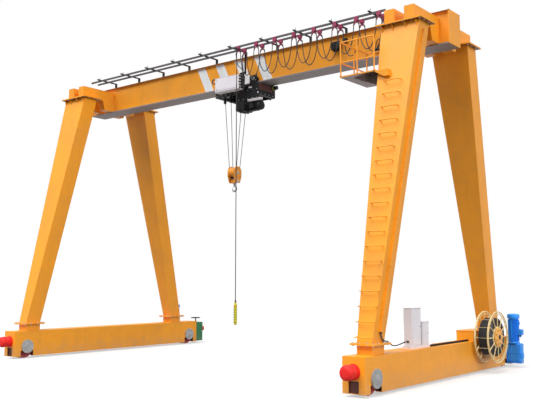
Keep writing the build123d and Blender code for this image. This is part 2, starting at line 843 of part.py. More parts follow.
with BuildPart() as trolley_wheels:
    for side in (-1, 1):
        for x in wheel_xs:
            rod((x, side * wheel_y, wheel_axle_z + wheel_lift), "y", trolley_wheel_radius, trolley_wheel_width)
            rod((x, side * (wheel_y + side_plate_y + 2 * side_plate) / 2, wheel_axle_z + wheel_lift), "y",
                trolley_axle, side_plate_y + 2 * side_plate - wheel_y)
finish(trolley_wheels, "trolley_wheels")

with BuildPart() as control_box:
    block(-box_west, box_east, -box_front, -box_back, box_base, box_roof)
finish(control_box, "hoist_control_box")

with BuildPart() as gearbox:
    block(gearbox_left, gearbox_right, -gearbox_front, -gearbox_back, gearbox_low, side_plate_low)
finish(gearbox, "hoist_gearbox")

with BuildPart() as hoist_motor:
    rod((gearbox_right + hoist_motor_length / 2, -hoist_motor_y, hoist_motor_z), "x", hoist_motor_radius,
        hoist_motor_length)
finish(hoist_motor, "hoist_motor")

with BuildPart() as drum:
    rod(((drum_left + drum_right) / 2, drum_y, drum_z), "x", drum_radius, drum_right - drum_left)
finish(drum, "hoist_drum")

# Hook block with two sheaves, and the four falls of rope that carry it
falls = []
for side in (-1, 1):
    low = (hook_x + side * sheave_offset, -sheave_pitch, sheave_z)
    top = (fall_near_x if side < 0 else socket_x, fall_near_y, frame_shallow)
    falls.append((top, low))
    low = (hook_x + side * sheave_offset, sheave_pitch, sheave_z)
    share = (frame_shallow - sheave_z) / (drum_z - sheave_z)
    lead_x = drum_lead_left if side < 0 else drum_lead_right
    top = (low[0] + (lead_x - low[0]) * share,
           low[1] + (drum_y - drum_radius - rope_radius - low[1]) * share, frame_shallow)
    falls.append((top, low))
with BuildPart() as ropes:
    for top, low in falls:
        path = Vector(*low) - Vector(*top)
        with BuildSketch(Plane(origin=top, z_dir=path)) as section:
            Circle(rope_radius)
        extrude(section.sketch, amount=path.length)
    block(drum_left, trolley_right, -side_plate_y, drum_y, frame_shallow - side_gap, frame_shallow + rope_radius,
          Mode.SUBTRACT)
finish(ropes, "hoist_ropes")

with BuildPart() as hook_block:
    for side in (-1, 1):
        x0, x1 = sorted((hook_x + side * cheek_x, hook_x + side * (cheek_x + cheek)))
        block(x0, x1, -cheek_width / 2, cheek_width / 2, cheek_low, cheek_top)
    block(hook_x - cheek_x, hook_x + cheek_x, -crosshead / 2, crosshead / 2, cheek_low, cheek_low + crosshead)
    rod((hook_x, 0, cheek_low + crosshead / 2), "z", shank_radius + running_gap, crosshead, Mode.SUBTRACT)
finish(hook_block, "hook_block")

with BuildPart() as sheaves:
    for side in (-1, 1):
        rod((hook_x + side * sheave_offset, 0, sheave_z), "x", sheave_pitch - rope_radius, sheave_width)
        for edge in (-1, 1):
            rod((hook_x + side * sheave_offset + edge * (sheave_width - sheave_rim) / 2, 0, sheave_z), "x",
                sheave_pitch + rope_radius, sheave_rim)
    rod((hook_x, 0, sheave_z), "x", sheave_axle, 2 * cheek_x)
finish(sheaves, "hook_block_sheaves")

with BuildPart() as hook:
    shank_top = cheek_low + crosshead + nut_height
    rod((hook_x, 0, (shank_top + hook_eye_z) / 2), "z", shank_radius, shank_top - hook_eye_z)
    rod((hook_x, 0, cheek_low + crosshead + side_gap + nut_height / 2), "z", nut_share * shank_radius, nut_height)
    with BuildLine() as throat:
        shares = ((0, 0), (0, -0.3), (1, -0.85), (1, -2.35), (-1, -2.35), (-1, -1.3))
        radius_shares = (0.4, 0.9, 0.95, 0.95)
        FilletPolyline(*[(hook_x + hook_bow * u, 0, hook_eye_z + hook_bow * w) for u, w in shares],
                       radius=[hook_bow * share for share in radius_shares])
    with BuildSketch(Plane(origin=(hook_x, 0, hook_eye_z), z_dir=(0, 0, -1))) as section:
        Circle(hook_radius)
    sweep(section.sketch, path=throat.line)
finish(hook, "hook")

# Pendant control on its own cable from the tow carrier
with BuildPart() as pendant_cable:
    rod((pendant_x, -pendant_y, (yoke_low + pendant_top) / 2), "z", cable_radius, yoke_low - pendant_top)
finish(pendant_cable, "pendant_cable")

with BuildPart() as pendant:
    block(pendant_x - pendant_width / 2, pendant_x + pendant_width / 2, -pendant_y - pendant_depth / 2,
          -pendant_y + pendant_depth / 2, pendant_top - pendant_length, pendant_top)
finish(pendant, "pendant")
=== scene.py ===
# %% [markdown]
# # A travelling gantry crane, dressed for its portrait
# The crane's solids come first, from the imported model: girder, legs, ground beams, trolley, hook and all the
# moving parts, each already in its place. This lesson adds what a camera sees and a solid model leaves out:
# paint that has weathered, ropes with strands, cable loops, bolts, fins, hoops and rollers.
# Every added piece is worked out as a grid of points with numpy, and every finish is a set of nodes.

# %% Load the frame and keep its size
import bpy
import json
import numpy as np
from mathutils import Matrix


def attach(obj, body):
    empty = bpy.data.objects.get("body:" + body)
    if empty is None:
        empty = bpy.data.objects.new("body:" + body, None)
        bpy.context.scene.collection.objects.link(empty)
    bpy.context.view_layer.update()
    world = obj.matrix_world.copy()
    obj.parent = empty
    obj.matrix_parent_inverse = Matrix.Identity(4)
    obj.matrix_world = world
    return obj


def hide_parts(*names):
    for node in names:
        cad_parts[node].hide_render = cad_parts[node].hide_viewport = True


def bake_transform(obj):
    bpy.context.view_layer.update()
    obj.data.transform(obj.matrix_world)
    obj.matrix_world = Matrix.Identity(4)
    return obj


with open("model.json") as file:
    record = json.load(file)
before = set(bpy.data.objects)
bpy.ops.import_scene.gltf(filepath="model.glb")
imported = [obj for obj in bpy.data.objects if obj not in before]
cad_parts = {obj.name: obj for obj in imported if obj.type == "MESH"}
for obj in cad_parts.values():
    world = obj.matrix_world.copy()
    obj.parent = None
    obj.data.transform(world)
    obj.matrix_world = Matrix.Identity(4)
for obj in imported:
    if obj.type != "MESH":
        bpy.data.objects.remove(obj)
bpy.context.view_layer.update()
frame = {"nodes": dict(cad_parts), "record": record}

# %% [markdown]
# The camera stands a little over two metres above the yard, off the end that has the ladder, and looks up
# along the girder. Its height, turn and lens were solved from the straight edges of the girder, the legs and
# the ground beams, so that the long lines of the crane run to the same vanishing points as in the photograph.

# %% Camera
camera_data = bpy.data.cameras.new("portrait_camera")
focal_pixels, picture_width = 769.606, 550
camera_data.sensor_width = 36
camera_data.lens = focal_pixels / picture_width * camera_data.sensor_width
camera_data.clip_end = 400
camera = bpy.data.objects.new("portrait_camera", camera_data)
camera.location = (13.577, -15.620, 2.175)
camera_tilt, camera_turn = 5.904, 38.691
camera.rotation_euler = np.radians([90 + camera_tilt, 0, camera_turn])
bpy.context.scene.collection.objects.link(camera)
bpy.context.scene.camera = camera
print("lens", round(camera_data.lens, 2), "mm")

# %% [markdown]
# The cables come before everything else, because a cable has a real length that the other pieces must leave
# room for. A festoon is a row of cable loops that hang between small carriers on a rail, and open and close
# like a curtain as the trolley travels. A loop is drawn as a NURBS spline whose control points are the
# corners of its route: the spline cuts smoothly inside each corner, as a bent cable does.

# %% A spline through a route
def spline_points(name, route):
    """Points of a NURBS spline of order 3, clamped at both ends, whose control points are the route's."""
    curve = bpy.data.curves.new(name, "CURVE")
    curve.dimensions = "3D"
    curve.resolution_u = 10
    spline = curve.splines.new("NURBS")
    spline.points.add(len(route) - 1)
    spline.points.foreach_set("co", np.c_[route, np.ones(len(route))].astype(np.float32).ravel())
    spline.order_u = 3
    spline.use_endpoint_u = True
    line = bpy.data.objects.new(name, curve)
    bpy.context.scene.collection.objects.link(line)
    bpy.context.view_layer.update()
    mesh = bpy.data.meshes.new_from_object(line)
    points = np.zeros(3 * len(mesh.vertices), np.float32)
    mesh.vertices.foreach_get("co", points)
    bpy.data.objects.remove(line)
    bpy.data.meshes.remove(mesh)
    return points.reshape(-1, 3).astype(float)


# %% [markdown]
# Most of the crane's small parts are one of four shapes: a tube along a path, a turned part, a slab cut from
# an outline, or a bevelled box. They could be made with Blender's own cylinders and cubes, but a grid of
# points is easier to repeat a hundred times and to fit to the solids. A Shape keeps points, four-sided faces
# and end caps, and can be moved, copied and joined as whole arrays.

# %% Shapes as arrays
axis_order = {"x": (2, 0, 1), "y": (1, 2, 0), "z": (0, 1, 2)}
axis_unit = dict(zip("xyz", np.eye(3)))


class Shape:
    """Points (n, 3), four-sided faces (m, 4) and end caps (lists of point numbers) of a piece."""

    def __init__(self, points, quads, caps=(), uv=None):
        self.points, self.quads, self.caps = np.asarray(points, float), np.asarray(quads, int), list(caps)
        self.uv = np.zeros((len(self.points), 2)) if uv is None else uv

    def volume(self):
        """Six times the signed volume: over all triangles, one corner dotted with the cross of the others."""
        fans = [self.quads[:, [0, 1, 2]], self.quads[:, [0, 2, 3]]]
        fans += [np.c_[np.full(len(c) - 2, c[0]), c[1:-1], c[2:]] for c in map(np.asarray, self.caps)]
        a, b, c = (self.points[np.vstack(fans)[:, k]] for k in range(3))
        return np.einsum("ij,ij->", a, np.cross(b, c))

    def outward(self):
        """The same shape with its faces turned round if they point inwards."""
        if self.volume() < 0:
            self.quads, self.caps = self.quads[:, ::-1], [c[::-1] for c in self.caps]
        return self

    def moved(self, *offset):
        """Every point shifted by one offset."""
        return Shape(self.points + np.array(offset, float), self.quads, self.caps, self.uv)

    def mirrored(self, axis):
        """Reflected across the crane's middle on one axis, with its faces turned the right way again."""
        points = self.points * (1 - 2 * axis_unit[axis])
        return Shape(points, self.quads[:, ::-1], [c[::-1] for c in self.caps], self.uv)

    def copied(self, offsets):
        """One copy for each offset, all in one shape."""
        return join([self.moved(*offset) for offset in np.asarray(offsets, float)])


def join(shapes):
    """Several shapes as one: arrays end to end, each one's face numbers shifted by those before it."""
    starts = np.cumsum([0] + [len(s.points) for s in shapes[:-1]])
    quads = np.vstack([s.quads + k for s, k in zip(shapes, starts)])
    caps = [np.asarray(c) + k for s, k in zip(shapes, starts) for c in s.caps]
    return Shape(np.vstack([s.points for s in shapes]), quads, caps, np.vstack([s.uv for s in shapes]))


def skin(rings, closed=False):
    """A closed surface over rings (n, m, 3): point (i, j) joins (i, j+1), (i+1, j+1) and (i+1, j)."""
    n, m = rings.shape[:2]
    i, j = np.meshgrid(np.arange(n if closed else n - 1), np.arange(m), indexing="ij")
    i, j, i2, j2 = i.ravel(), j.ravel(), ((i + 1) % n).ravel(), ((j + 1) % m).ravel()
    quads = np.c_[i * m + j, i * m + j2, i2 * m + j2, i2 * m + j]
    caps = [] if closed else [np.arange(m)[::-1], np.arange((n - 1) * m, n * m)]
    uv = np.stack(np.meshgrid(np.arange(n) / n, np.arange(m) / m, indexing="ij"), -1).reshape(-1, 2)
    return Shape(rings.reshape(-1, 3), quads, caps, uv).outward()


def tube(path, radius, sides=12, normal=(0, 1, 0), closed=False):
    """Round tube: at each path point, the centre plus radius times the cosine along side, the sine along up."""
    path = np.asarray(path, float)
    ahead = (np.roll(path, -1, 0) - np.roll(path, 1, 0)) if closed else np.gradient(path, axis=0)
    ahead /= np.linalg.norm(ahead, axis=1, keepdims=True)
    side = np.cross(ahead, np.array(normal, float))
    side /= np.linalg.norm(side, axis=1, keepdims=True)
    up = np.cross(side, ahead)
    a = np.linspace(0, 2 * np.pi, sides, endpoint=False)[None, :, None]
    r = np.broadcast_to(radius, len(path))[:, None, None]
    rings = path[:, None] + r * (np.cos(a) * side[:, None] + np.sin(a) * up[:, None])
    shape = skin(rings, closed)
    steps = np.r_[0, np.cumsum(np.linalg.norm(np.diff(path, axis=0), axis=1))]
    shape.uv = np.stack(np.meshgrid(steps, np.arange(sides) / sides, indexing="ij"), -1).reshape(-1, 2)
    return shape


def turned(profile, centre, axis, sides=48):
    """Turned part: profile rows are (distance along the axis, radius), swept once round the axis."""
    along, radius = np.asarray(profile, float).T
    a = np.linspace(0, 2 * np.pi, sides, endpoint=False)
    rings = np.stack([np.outer(radius, np.cos(a)), np.outer(radius, np.sin(a)),
                      np.repeat(along[:, None], sides, 1)], -1)
    return skin(rings[..., axis_order[axis]]).moved(*centre)


def inset(outline, distance):
    """The outline pulled inwards: each corner moves along the mean of its two edges' inward normals."""
    edge = np.roll(outline, -1, 0) - outline
    normal = np.c_[-edge[:, 1], edge[:, 0]] / np.linalg.norm(edge, axis=1, keepdims=True)
    before = np.roll(normal, 1, 0)
    return outline + distance * (normal + before) / (1 + np.sum(normal * before, 1, keepdims=True))


def slab(outline, low, high, axis, bevel=0.003):
    """Plate cut to an outline (anticlockwise), between two levels of an axis, with both rims bevelled."""
    outline = np.asarray(outline, float)
    levels = [(low, bevel), (low + bevel, 0), (high - bevel, 0), (high, bevel)]
    rings = np.stack([np.c_[inset(outline, d), np.full(len(outline), z)] for z, d in levels])
    return skin(rings[..., axis_order[axis]])


def rounded(x0, x1, y0, y1, corner, steps):
    """Outline of a rectangle whose corners are arcs of one radius, anticlockwise."""
    a = np.linspace(0, np.pi / 2, steps)
    corners = ((x1, y1, 1, 1, a), (x0, y1, -1, 1, a + np.pi / 2), (x0, y0, -1, -1, a + np.pi),
               (x1, y0, 1, -1, a + 1.5 * np.pi))
    return np.vstack([np.c_[x + corner * (np.cos(t) - sx), y + corner * (np.sin(t) - sy)]
                      for x, y, sx, sy, t in corners])


def casing(x0, x1, y0, y1, z0, z1, bevel=0.004, axis="z"):
    """Box between limits with every edge bevelled: a slab cut from a rectangle with rounded corners."""
    spans = ((x0, x1), (y0, y1), (z0, z1))
    k = "xyz".index(axis)
    return slab(rounded(*spans[k - 2], *spans[k - 1], bevel, 2), *spans[k], axis, bevel)


def casings(*rows):
    """One casing for each row of limits, with its bevel and axis where they differ from the usual."""
    return [casing(*row) for row in rows]


def post(x, y, half_x, half_y, z0, z1, bevel=0.004):
    """Casing round an upright line, given by half its width either way and two heights."""
    return casing(x - half_x, x + half_x, y - half_y, y + half_y, z0, z1, bevel)


def around(centre, radius, angles, axis):
    """Points round an axis: the centre plus radius times each angle's cosine and sine, square to the axis."""
    flat = np.c_[radius * np.cos(angles), radius * np.sin(angles), np.zeros(len(angles))]
    return flat[:, axis_order[axis]] + centre


def hoop(centre, radius, axis, thickness, steps, sides):
    """Round tube bent into a closed circle about an axis."""
    circle = around(centre, radius, np.arange(steps) * 2 * np.pi / steps, axis)
    return tube(circle, thickness, sides, axis_unit[axis], closed=True)


def spokes(centre, axis, angles, inner, outer, thickness, sides):
    """Round bars that point away from an axis, from one radius to another, one at each angle."""
    ends = zip(around(centre, inner, angles, axis), around(centre, outer, angles, axis))
    return [tube(pair, thickness, sides, axis_unit[axis]) for pair in ends]


def bolts(centres, axis, radius, height, side=1):
    """Hexagonal bolt heads on washers, standing on points of a face, along plus or minus one axis."""
    profile = ((0, 1.35), (0.2, 1.35), (0.2, 1), (0.9, 1), (1, 0.8))
    return turned(np.multiply(profile, (side * height, radius)), (0, 0, 0), axis, 6).copied(centres)


print("a test casing holds", round(casing(0, 1, 0, 1, 0, 1).volume() / 6, 3), "of its cube")

# %% [markdown]
# A finished shape goes into Blender as one mesh object at the origin, with its place in its points. It rides
# on the body that carries it, so that it moves when the crane does. Edges under thirty-five degrees are
# shaded smooth, so that a tube looks round while a bevel still catches the light.

# %% From shape to object
made = {}


def piece(name, shapes, body=None, stands_for=(), slot=None):
    """Puts shapes into one mesh, shades it, and hangs it on its body; hides the CAD nodes it stands for."""
    shape = join(shapes) if isinstance(shapes, list) else shapes
    mesh = bpy.data.meshes.new(name)
    caps = [np.asarray(c).tolist() for c in shape.caps]
    mesh.from_pydata(shape.points.tolist(), [], shape.quads.tolist() + caps)
    corners = np.zeros(len(mesh.loops), np.int32)
    mesh.loops.foreach_get("vertex_index", corners)
    layer = mesh.uv_layers.new(name="along_and_round")
    layer.data.foreach_set("uv", shape.uv[corners].astype(np.float32).ravel())
    mesh.shade_smooth()
    mesh.set_sharp_from_angle(angle=np.radians(35))
    obj = bpy.data.objects.new(name, mesh)
    bpy.context.scene.collection.objects.link(obj)
    if body:
        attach(obj, body)
    if stands_for:
        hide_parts(*stands_for)
    made[name] = (obj, slot)
    return obj

# %% [markdown]
# Seven pairs of loops hang between the tow carrier on the trolley, six running carriers and the end clamp.
# Each loop is laid once where it hangs now, and is not tied to the carriers that move apart. On the real crane
# a loop swaps width for depth as the trolley travels.

# %% Festoon loops
tow_x, clamp_x, saddle_z, saddle_radius = 0.536, 4.795, 8.071, 0.075
loop_depth, loop_radius, tail_radius = 0.640, 0.011, 0.0105
carrier_xs = np.linspace(tow_x, clamp_x, 8)
carrier_bodies = ["trolley"] + [f"carrier_{k}" for k in range(1, 7)] + ["end_clamp"]
loop_across = np.array([0, 0, 0.16, 0.5, 0.84, 1, 1])
loop_down = np.array([0, 0.2, 0.8, 1.05, 0.8, 0.2, 0])
rail_rows = {"inner": -0.620, "outer": -0.870}

for k in range(7):
    x0, x1 = carrier_xs[k] + saddle_radius, carrier_xs[k + 1] - saddle_radius
    for row, y in rail_rows.items():
        route = np.c_[x0 + (x1 - x0) * loop_across, np.full(7, y), saddle_z - loop_depth * loop_down]
        points = spline_points(f"festoon_route_{k + 1}_{row}", route)
        loop = piece(f"festoon_cable_{k + 1}_{row}", tube(points, loop_radius), slot="cable_black",
                     stands_for=[f"festoon_loop_{k + 1}"])
        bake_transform(loop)

# %% [markdown]
# Two more cables have both ends in sight. The pendant's cable drops straight from an arm of the tow carrier
# to the hand control, taut under its weight. The cabinet's lead leaves the conduit at the foot of the leg,
# swings across above the pedestal and goes into the tall cabinet's side. One function lays every such cable.

# %% Pendant cable and cabinet lead
pendant_x, pendant_y = 0.556, -0.960
pendant_route = np.array([(pendant_x, pendant_y, z) for z in (8.174, 4.900, 1.610)])

# The lead's route: shares of the way across and along, and millimetres above the ground beam
lead_shares = np.array([(0, 0, 430), (0, 0, 355), (0, 0.032, 282), (0, 0.092, 245), (0.04, 0.20, 237),
                        (0.3, 0.31, 172), (0.6, 0.45, 122), (0.85, 0.62, 104), (1, 0.78, 122), (1, 0.90, 150),
                        (1, 1, 150)])
start, goal, beam_top = np.array([5.8343, -2.7065]), np.array([5.650, -1.330]), 0.750
lead_route = np.c_[start + (goal - start) * lead_shares[:, :2], beam_top + lead_shares[:, 2] / 1000]


def gland(x, y, z, axis, way, radius, length=0.045):
    """Cable gland: a hexagon against the wall, a round nut, and a sleeve that tapers down to the cable."""
    nut = turned([(0, radius * 2.3), (way * length * 0.3, radius * 2.3)], (x, y, z), axis, 6)
    sleeve = turned([(way * length * 0.3, radius * 1.9), (way * length * 0.6, radius * 1.8),
                     (way * length, radius * 1.08)], (x, y, z), axis, 20)
    return [nut, sleeve]


def lay_cable(name, route, radius, body, nodes, sides=12, across=(1, 0, 0)):
    """A cord along its route's spline, as long as the spline's points say."""
    points = spline_points(name + "_route", route)
    line = piece(name, tube(points, radius, sides, across), body, nodes, "cable_black")


lead_radius, pendant_radius = 0.013, 0.011
ends = gland(*start, 1.180, "z", -1, lead_radius) + gland(*goal, 0.900, "y", -1, lead_radius)
lead_glands = piece("lead_glands", ends, "crane_frame", slot="cable_black")
ends = (gland(*pendant_route[0], "z", -1, pendant_radius, 0.06)
        + gland(*pendant_route[-1], "z", 1, pendant_radius, 0.06))
pendant_glands = piece("pendant_glands", ends, "trolley", slot="cable_black")
lay_cable("cabinet_lead_cable", lead_route, lead_radius, "crane_frame", ["cabinet_lead"],
          sides=14)
lay_cable("pendant_hanging_cable", pendant_route, pendant_radius, "trolley", ["pendant_cable"],
          14, (0, 1, 0))

# %% [markdown]
# The crane stands in the soft daylight of a bright, hazy sky: a high and very broad sun lights the tops and
# the near faces, a weaker one opens up the faces towards the ladder's end, and an even sky fills the
# undersides. The background is white only to the eye, to mirrors and to glass, so it adds no light.

# %% Light, sky and floor
scene = bpy.context.scene
scene.view_settings.view_transform = "Standard"


def sun(name, strength, across, up, turn):
    """A distant lamp of a given width, which shines from a height and a direction in degrees."""
    lamp = bpy.data.lights.new(name, "SUN")
    lamp.energy, lamp.angle = strength, np.radians(across)
    obj = bpy.data.objects.new(name, lamp)
    obj.rotation_euler = np.radians([90 - up, 0, turn])
    scene.collection.objects.link(obj)


sun("key_sun", strength=4.0, across=55, up=60, turn=-14)
sun("side_sun", strength=1.75, across=40, up=25, turn=80)

world = bpy.data.worlds.new("pale_sky")
world.use_nodes = True
scene.world = world
nodes, links = world.node_tree.nodes, world.node_tree.links
rays = nodes.new("ShaderNodeLightPath")
white, fill, choice = nodes["Background"], nodes.new("ShaderNodeBackground"), nodes.new("ShaderNodeMixShader")
white.inputs["Color"].default_value = (1, 1, 1, 1)
fill.inputs["Color"].default_value = (0.93, 0.96, 1, 1)
fill.inputs["Strength"].default_value = 0.33
seen = rays.outputs["Is Camera Ray"]
for name in ("Is Glossy Ray", "Is Transmission Ray"):
    add = nodes.new("ShaderNodeMath")
    add.operation = "MAXIMUM"
    links.new(seen, add.inputs[0])
    links.new(rays.outputs[name], add.inputs[1])
    seen = add.outputs[0]
links.new(seen, choice.inputs[0])
links.new(fill.outputs[0], choice.inputs[1])
links.new(white.outputs[0], choice.inputs[2])
links.new(choice.outputs[0], nodes["World Output"].inputs["Surface"])

# %% [markdown]
# A finish is a set of nodes. Writing them one by one is slow to read, so one small class wraps a node's
# output: adding, subtracting or multiplying two of them adds the Math node that does it, also when the number
# comes first. Colours and vectors go through Mix and Vector Math, which keep all their channels.

# %% Sums on sockets
class Signal:
    """One output socket of a material's nodes, on which the usual signs of arithmetic work."""

    def __init__(self, finish, socket):
        self.finish, self.socket = finish, socket

    def math(self, operation, *others):
        """One Math node, with this signal in its first socket."""
        return self.finish.calc(operation, self, *others)

    def __abs__(self):
        return self.math("ABSOLUTE")

    def ease(self, low, high):
        """0 below low, 1 above high, and a smooth rise between."""
        return self.finish.node("MapRange", {"interpolation_type": "SMOOTHSTEP"},
                                {"Value": self, "From Min": low, "From Max": high})


# The four signs, and their reflected forms for a number that comes first
for sign, operation in (("add", "ADD"), ("sub", "SUBTRACT"), ("mul", "MULTIPLY"), ("truediv", "DIVIDE")):
    setattr(Signal, f"__{sign}__", lambda self, other, op=operation: self.finish.calc(op, self, other))
    setattr(Signal, f"__r{sign}__", lambda self, other, op=operation: self.finish.calc(op, other, self))


class Finish:
    """A material while its nodes are being laid out. Keywords are constant sockets of its shader."""

    def __init__(self, name, **constants):
        self.material = bpy.data.materials.new(name)
        self.material.use_nodes = True
        self.nodes, self.links = self.material.node_tree.nodes, self.material.node_tree.links
        self.shader = self.nodes["Principled BSDF"]
        for key, value in constants.items():
            self.shader.inputs[key.replace("_", " ").title().replace("Ior", "IOR")].default_value = value
        self.place = self.node("TexCoord", {}, {}, "Object")

    def node(self, kind, settings, inputs, out=0):
        """One node of a kind: its settings first, then a value or a link in each named or numbered socket."""
        node = self.nodes.new("ShaderNode" + kind)
        for key, value in settings.items():
            setattr(node, key, value)
        for key, value in inputs.items():
            if isinstance(value, Signal):
                self.links.new(value.socket, node.inputs[key])
            else:
                node.inputs[key].default_value = value
        return Signal(self, node.outputs[out])

    def calc(self, operation, *values):
        """One Math node, with a value or a link in each of its sockets in turn."""
        return self.node("Math", {"operation": operation}, dict(enumerate(values)))

    def noise(self, scale, detail=3.0, stretch=(1, 1, 1)):
        """Clouds of values around a half, scale cells to the metre, drawn out along an axis by stretch."""
        place = self.node("VectorMath", {"operation": "MULTIPLY"}, {0: self.place, 1: stretch})
        return self.node("TexNoise", {}, {"Vector": place, "Scale": scale, "Detail": detail,
                                          "Roughness": 0.55})

    def axis(self, name):
        """One coordinate of the place on the crane, in metres."""
        return self.node("SeparateXYZ", {}, {0: self.place}, "XYZ".index(name))

    def mix(self, share, a, b):
        """Colour a where share is 0, and colour b where it is 1."""
        a, b = (c if isinstance(c, Signal) else (*c, 1.0) for c in (a, b))
        return self.node("Mix", {"data_type": "RGBA"}, {0: share, 6: a, 7: b}, 2)

    def done(self, colour, roughness, height=None, depth=0.001, metallic=None):
        """Joins colour, roughness, metal and a bump in metres of height to the shader."""
        for key, value in (("Base Color", colour), ("Roughness", roughness), ("Metallic", metallic)):
            if isinstance(value, Signal):
                self.links.new(value.socket, self.shader.inputs[key])
            elif value is not None:
                self.shader.inputs[key].default_value = (*value, 1.0) if key == "Base Color" else value
        if height is not None:
            bump = self.node("Bump", {}, {"Strength": 1.0, "Distance": depth, "Height": height})
            self.links.new(bump.socket, self.shader.inputs["Normal"])
        return self.material

# %% [markdown]
# Yard paint is never one colour. It fades a little in broad patches, rain draws dirt down it in streaks, dust
# settles low down near the ground, and where something has knocked it the dark primer shows. One recipe takes
# a colour and the amount of each of these, and gives every painted part its own mixture. Chips are the rarest
# peaks of a fine noise; streaks are a noise drawn out along the vertical.

# %% Painted steel
def paint(name, colour, rough=0.38, dirt=0.35, chips=0.5, streaks=0.5, dust=0.0, extra=None, shine=0.45):
    """Colour, faded in patches, darkened in streaks, dusted below a height, chipped down to primer."""
    f = Finish(name, specular_ior_level=shine)
    colour = np.array(colour)
    patches = f.noise(1.3, 4).ease(0.35, 0.70)
    base = f.mix(patches * 0.8, colour, colour * 0.86 + 0.012)
    if extra:
        base = extra(f, base)
    stain = f.noise(7.0, 5, (1, 1, 0.07)).ease(0.52, 0.78) * streaks * dirt
    base = f.mix(stain, base, colour * 0.42 + 0.02)
    grime = f.noise(3.1, 6).ease(0.55, 0.85) * dirt * 0.6
    base = f.mix(grime, base, (0.21, 0.17, 0.13))
    if dust:
        low = (1 - f.axis("Z").ease(0.0, dust)) * f.noise(9, 4).ease(0.25, 0.7) * 0.30
        base = f.mix(low, base, (0.36, 0.31, 0.25))
    speck = f.noise(38, 2).ease(0.735 - 0.03 * chips, 0.745 - 0.03 * chips) * f.noise(2.3, 2).ease(0.42, 0.58)
    base = f.mix(speck, base, (0.055, 0.035, 0.025))
    gloss = rough + f.noise(11, 4) * 0.16 + speck * 0.3 + grime * 0.25
    return f.done(base, gloss, f.noise(90, 3) * 0.5 + f.noise(14, 2) * 0.5 - speck * 0.8, 0.0004)


def bands_and_flange_shade(f, base):
    """White bands on the web above the hoist, one every pitch, shifted back by lean times the height; painted
    shade in dark brown along the top flange's overhanging edge.
    """
    lean, level, first, pitch, last = 0.478, 8.114, -1.61, 0.705, 3.462
    x, y, z = (f.axis(a) for a in "XYZ")
    along = (x + (z - level) * lean - first) / pitch
    step = along.math("FRACT")
    band = step.ease(0.006, 0.016) * (1 - step.ease(0.444, 0.454))
    on_web = abs(y).ease(0.19, 0.195) * (1 - abs(y).ease(0.205, 0.21))
    inside = along.ease(0.0, 0.01) * (1 - along.ease(last - 0.01, last)) * on_web
    inside = inside * z.ease(7.417, 7.419) * (1 - z.ease(8.142, 8.144))
    worn = 1 - f.noise(26, 5).ease(0.62, 0.68) * 0.5
    base = f.mix(band * inside * worn, base, (0.80, 0.82, 0.84))
    # painted shade: a dark brown strip on the top flange's overhanging edge and its underside
    edge = abs(y).ease(0.215, 0.222) * z.ease(8.138, 8.142) * (1 - z.ease(8.1612, 8.1624))
    return f.mix(edge * 0.85, base, (0.10, 0.035, 0.012))


def painted_shade_under_flanges(f, base):
    """Painted shade in dark red-brown, in a band just below the leg heads' flange plates."""
    z = f.axis("Z")
    # painted shade: a dark red-brown band just under each flange plate
    low = (1 - z.ease(flange_low, flange_low + 0.002)) * z.ease(flange_low - 0.03, flange_low - 0.02)
    return f.mix(low * 0.85, base, (0.10, 0.030, 0.008))


def grey_underside_and_shade(f, base):
    """Grey primer on the lowest face of the platform's floor, with painted shadow in dark brown towards the
    leg.
    """
    x, z = f.axis("X"), f.axis("Z")
    below = 1 - z.ease(deck_low, deck_low + 0.0015)
    # the grey is primer; the dark brown towards the leg is painted shadow
    return f.mix(below, base, f.mix(x.ease(4.75, 4.95), (0.235, 0.165, 0.160), (0.050, 0.020, 0.010)))


deck_low, flange_low = 6.600, 7.666
crane_yellow = (0.90, 0.342, 0.010)
finishes = {
    "crane_yellow": paint("weathered_crane_yellow", crane_yellow, dirt=0.25),
    "ground_yellow": paint("dusty_crane_yellow", crane_yellow, dirt=0.25, chips=0.8, dust=0.5),
    "girder_yellow": paint("banded_and_flange_shaded_crane_yellow", crane_yellow, dirt=0.3, extra=bands_and_flange_shade),
    "head_yellow": paint("shaded_below_crane_yellow", crane_yellow, dirt=0.3, extra=painted_shade_under_flanges),
    "deck_yellow": paint("grey_and_shaded_below_crane_yellow", crane_yellow, dirt=0.3, extra=grey_underside_and_shade),
    "track_grey": paint("worn_track_grey", (0.30, 0.265, 0.27), 0.5, 0.7, 1.2),
    "dark_steel": paint("black_machine_paint", (0.011, 0.011, 0.013), 0.45, 0.15, 0.2, shine=0.15),
    "drive_blue": paint("drive_blue_paint", (0.014, 0.300, 0.95), 0.36, 0.12, 0.5, dust=0.3),
    "clamp_green": paint("clamp_green_paint", (0.012, 0.150, 0.050), 0.45, 0.3, 0.8, dust=0.3),
    "cabinet_grey": paint("pale_cabinet_enamel", (0.79, 0.755, 0.79), 0.34, 0.12, 0.1),
    "reel_cream": paint("reel_cream_paint", (0.88, 0.66, 0.32), 0.4, 0.2, 0.4),
    "hub_orange": paint("hub_orange_paint", (0.86, 0.40, 0.07), 0.36, 0.3, 0.5),
    "hook_block_orange": paint("hook_block_orange_paint", (0.86, 0.315, 0.022), 0.4, 0.3, 0.8),
    # this red-brown also colours the wheel bay plates, where it is painted shade for the ground beams' dark
    # inside
    "primer_red": paint("red_brown_primer_and_shade", (0.085, 0.016, 0.010), 0.5, 0.5, 0.8),
    "wheel_red": paint("wheel_red_oxide", (0.46, 0.040, 0.045), 0.5, 0.4, 0.8, dust=0.2),
}
print("painted finishes:", len(finishes))

# %% [markdown]
# The rest is not painted: cast iron and bare steel shine where they rub and dull where they do not, rubber
# and moulded plastic scatter light in a fine grain, and a wire rope shows its strands. A strand's light and
# dark comes from the piece's own map: the distance along the rope plus a share of the way round it.

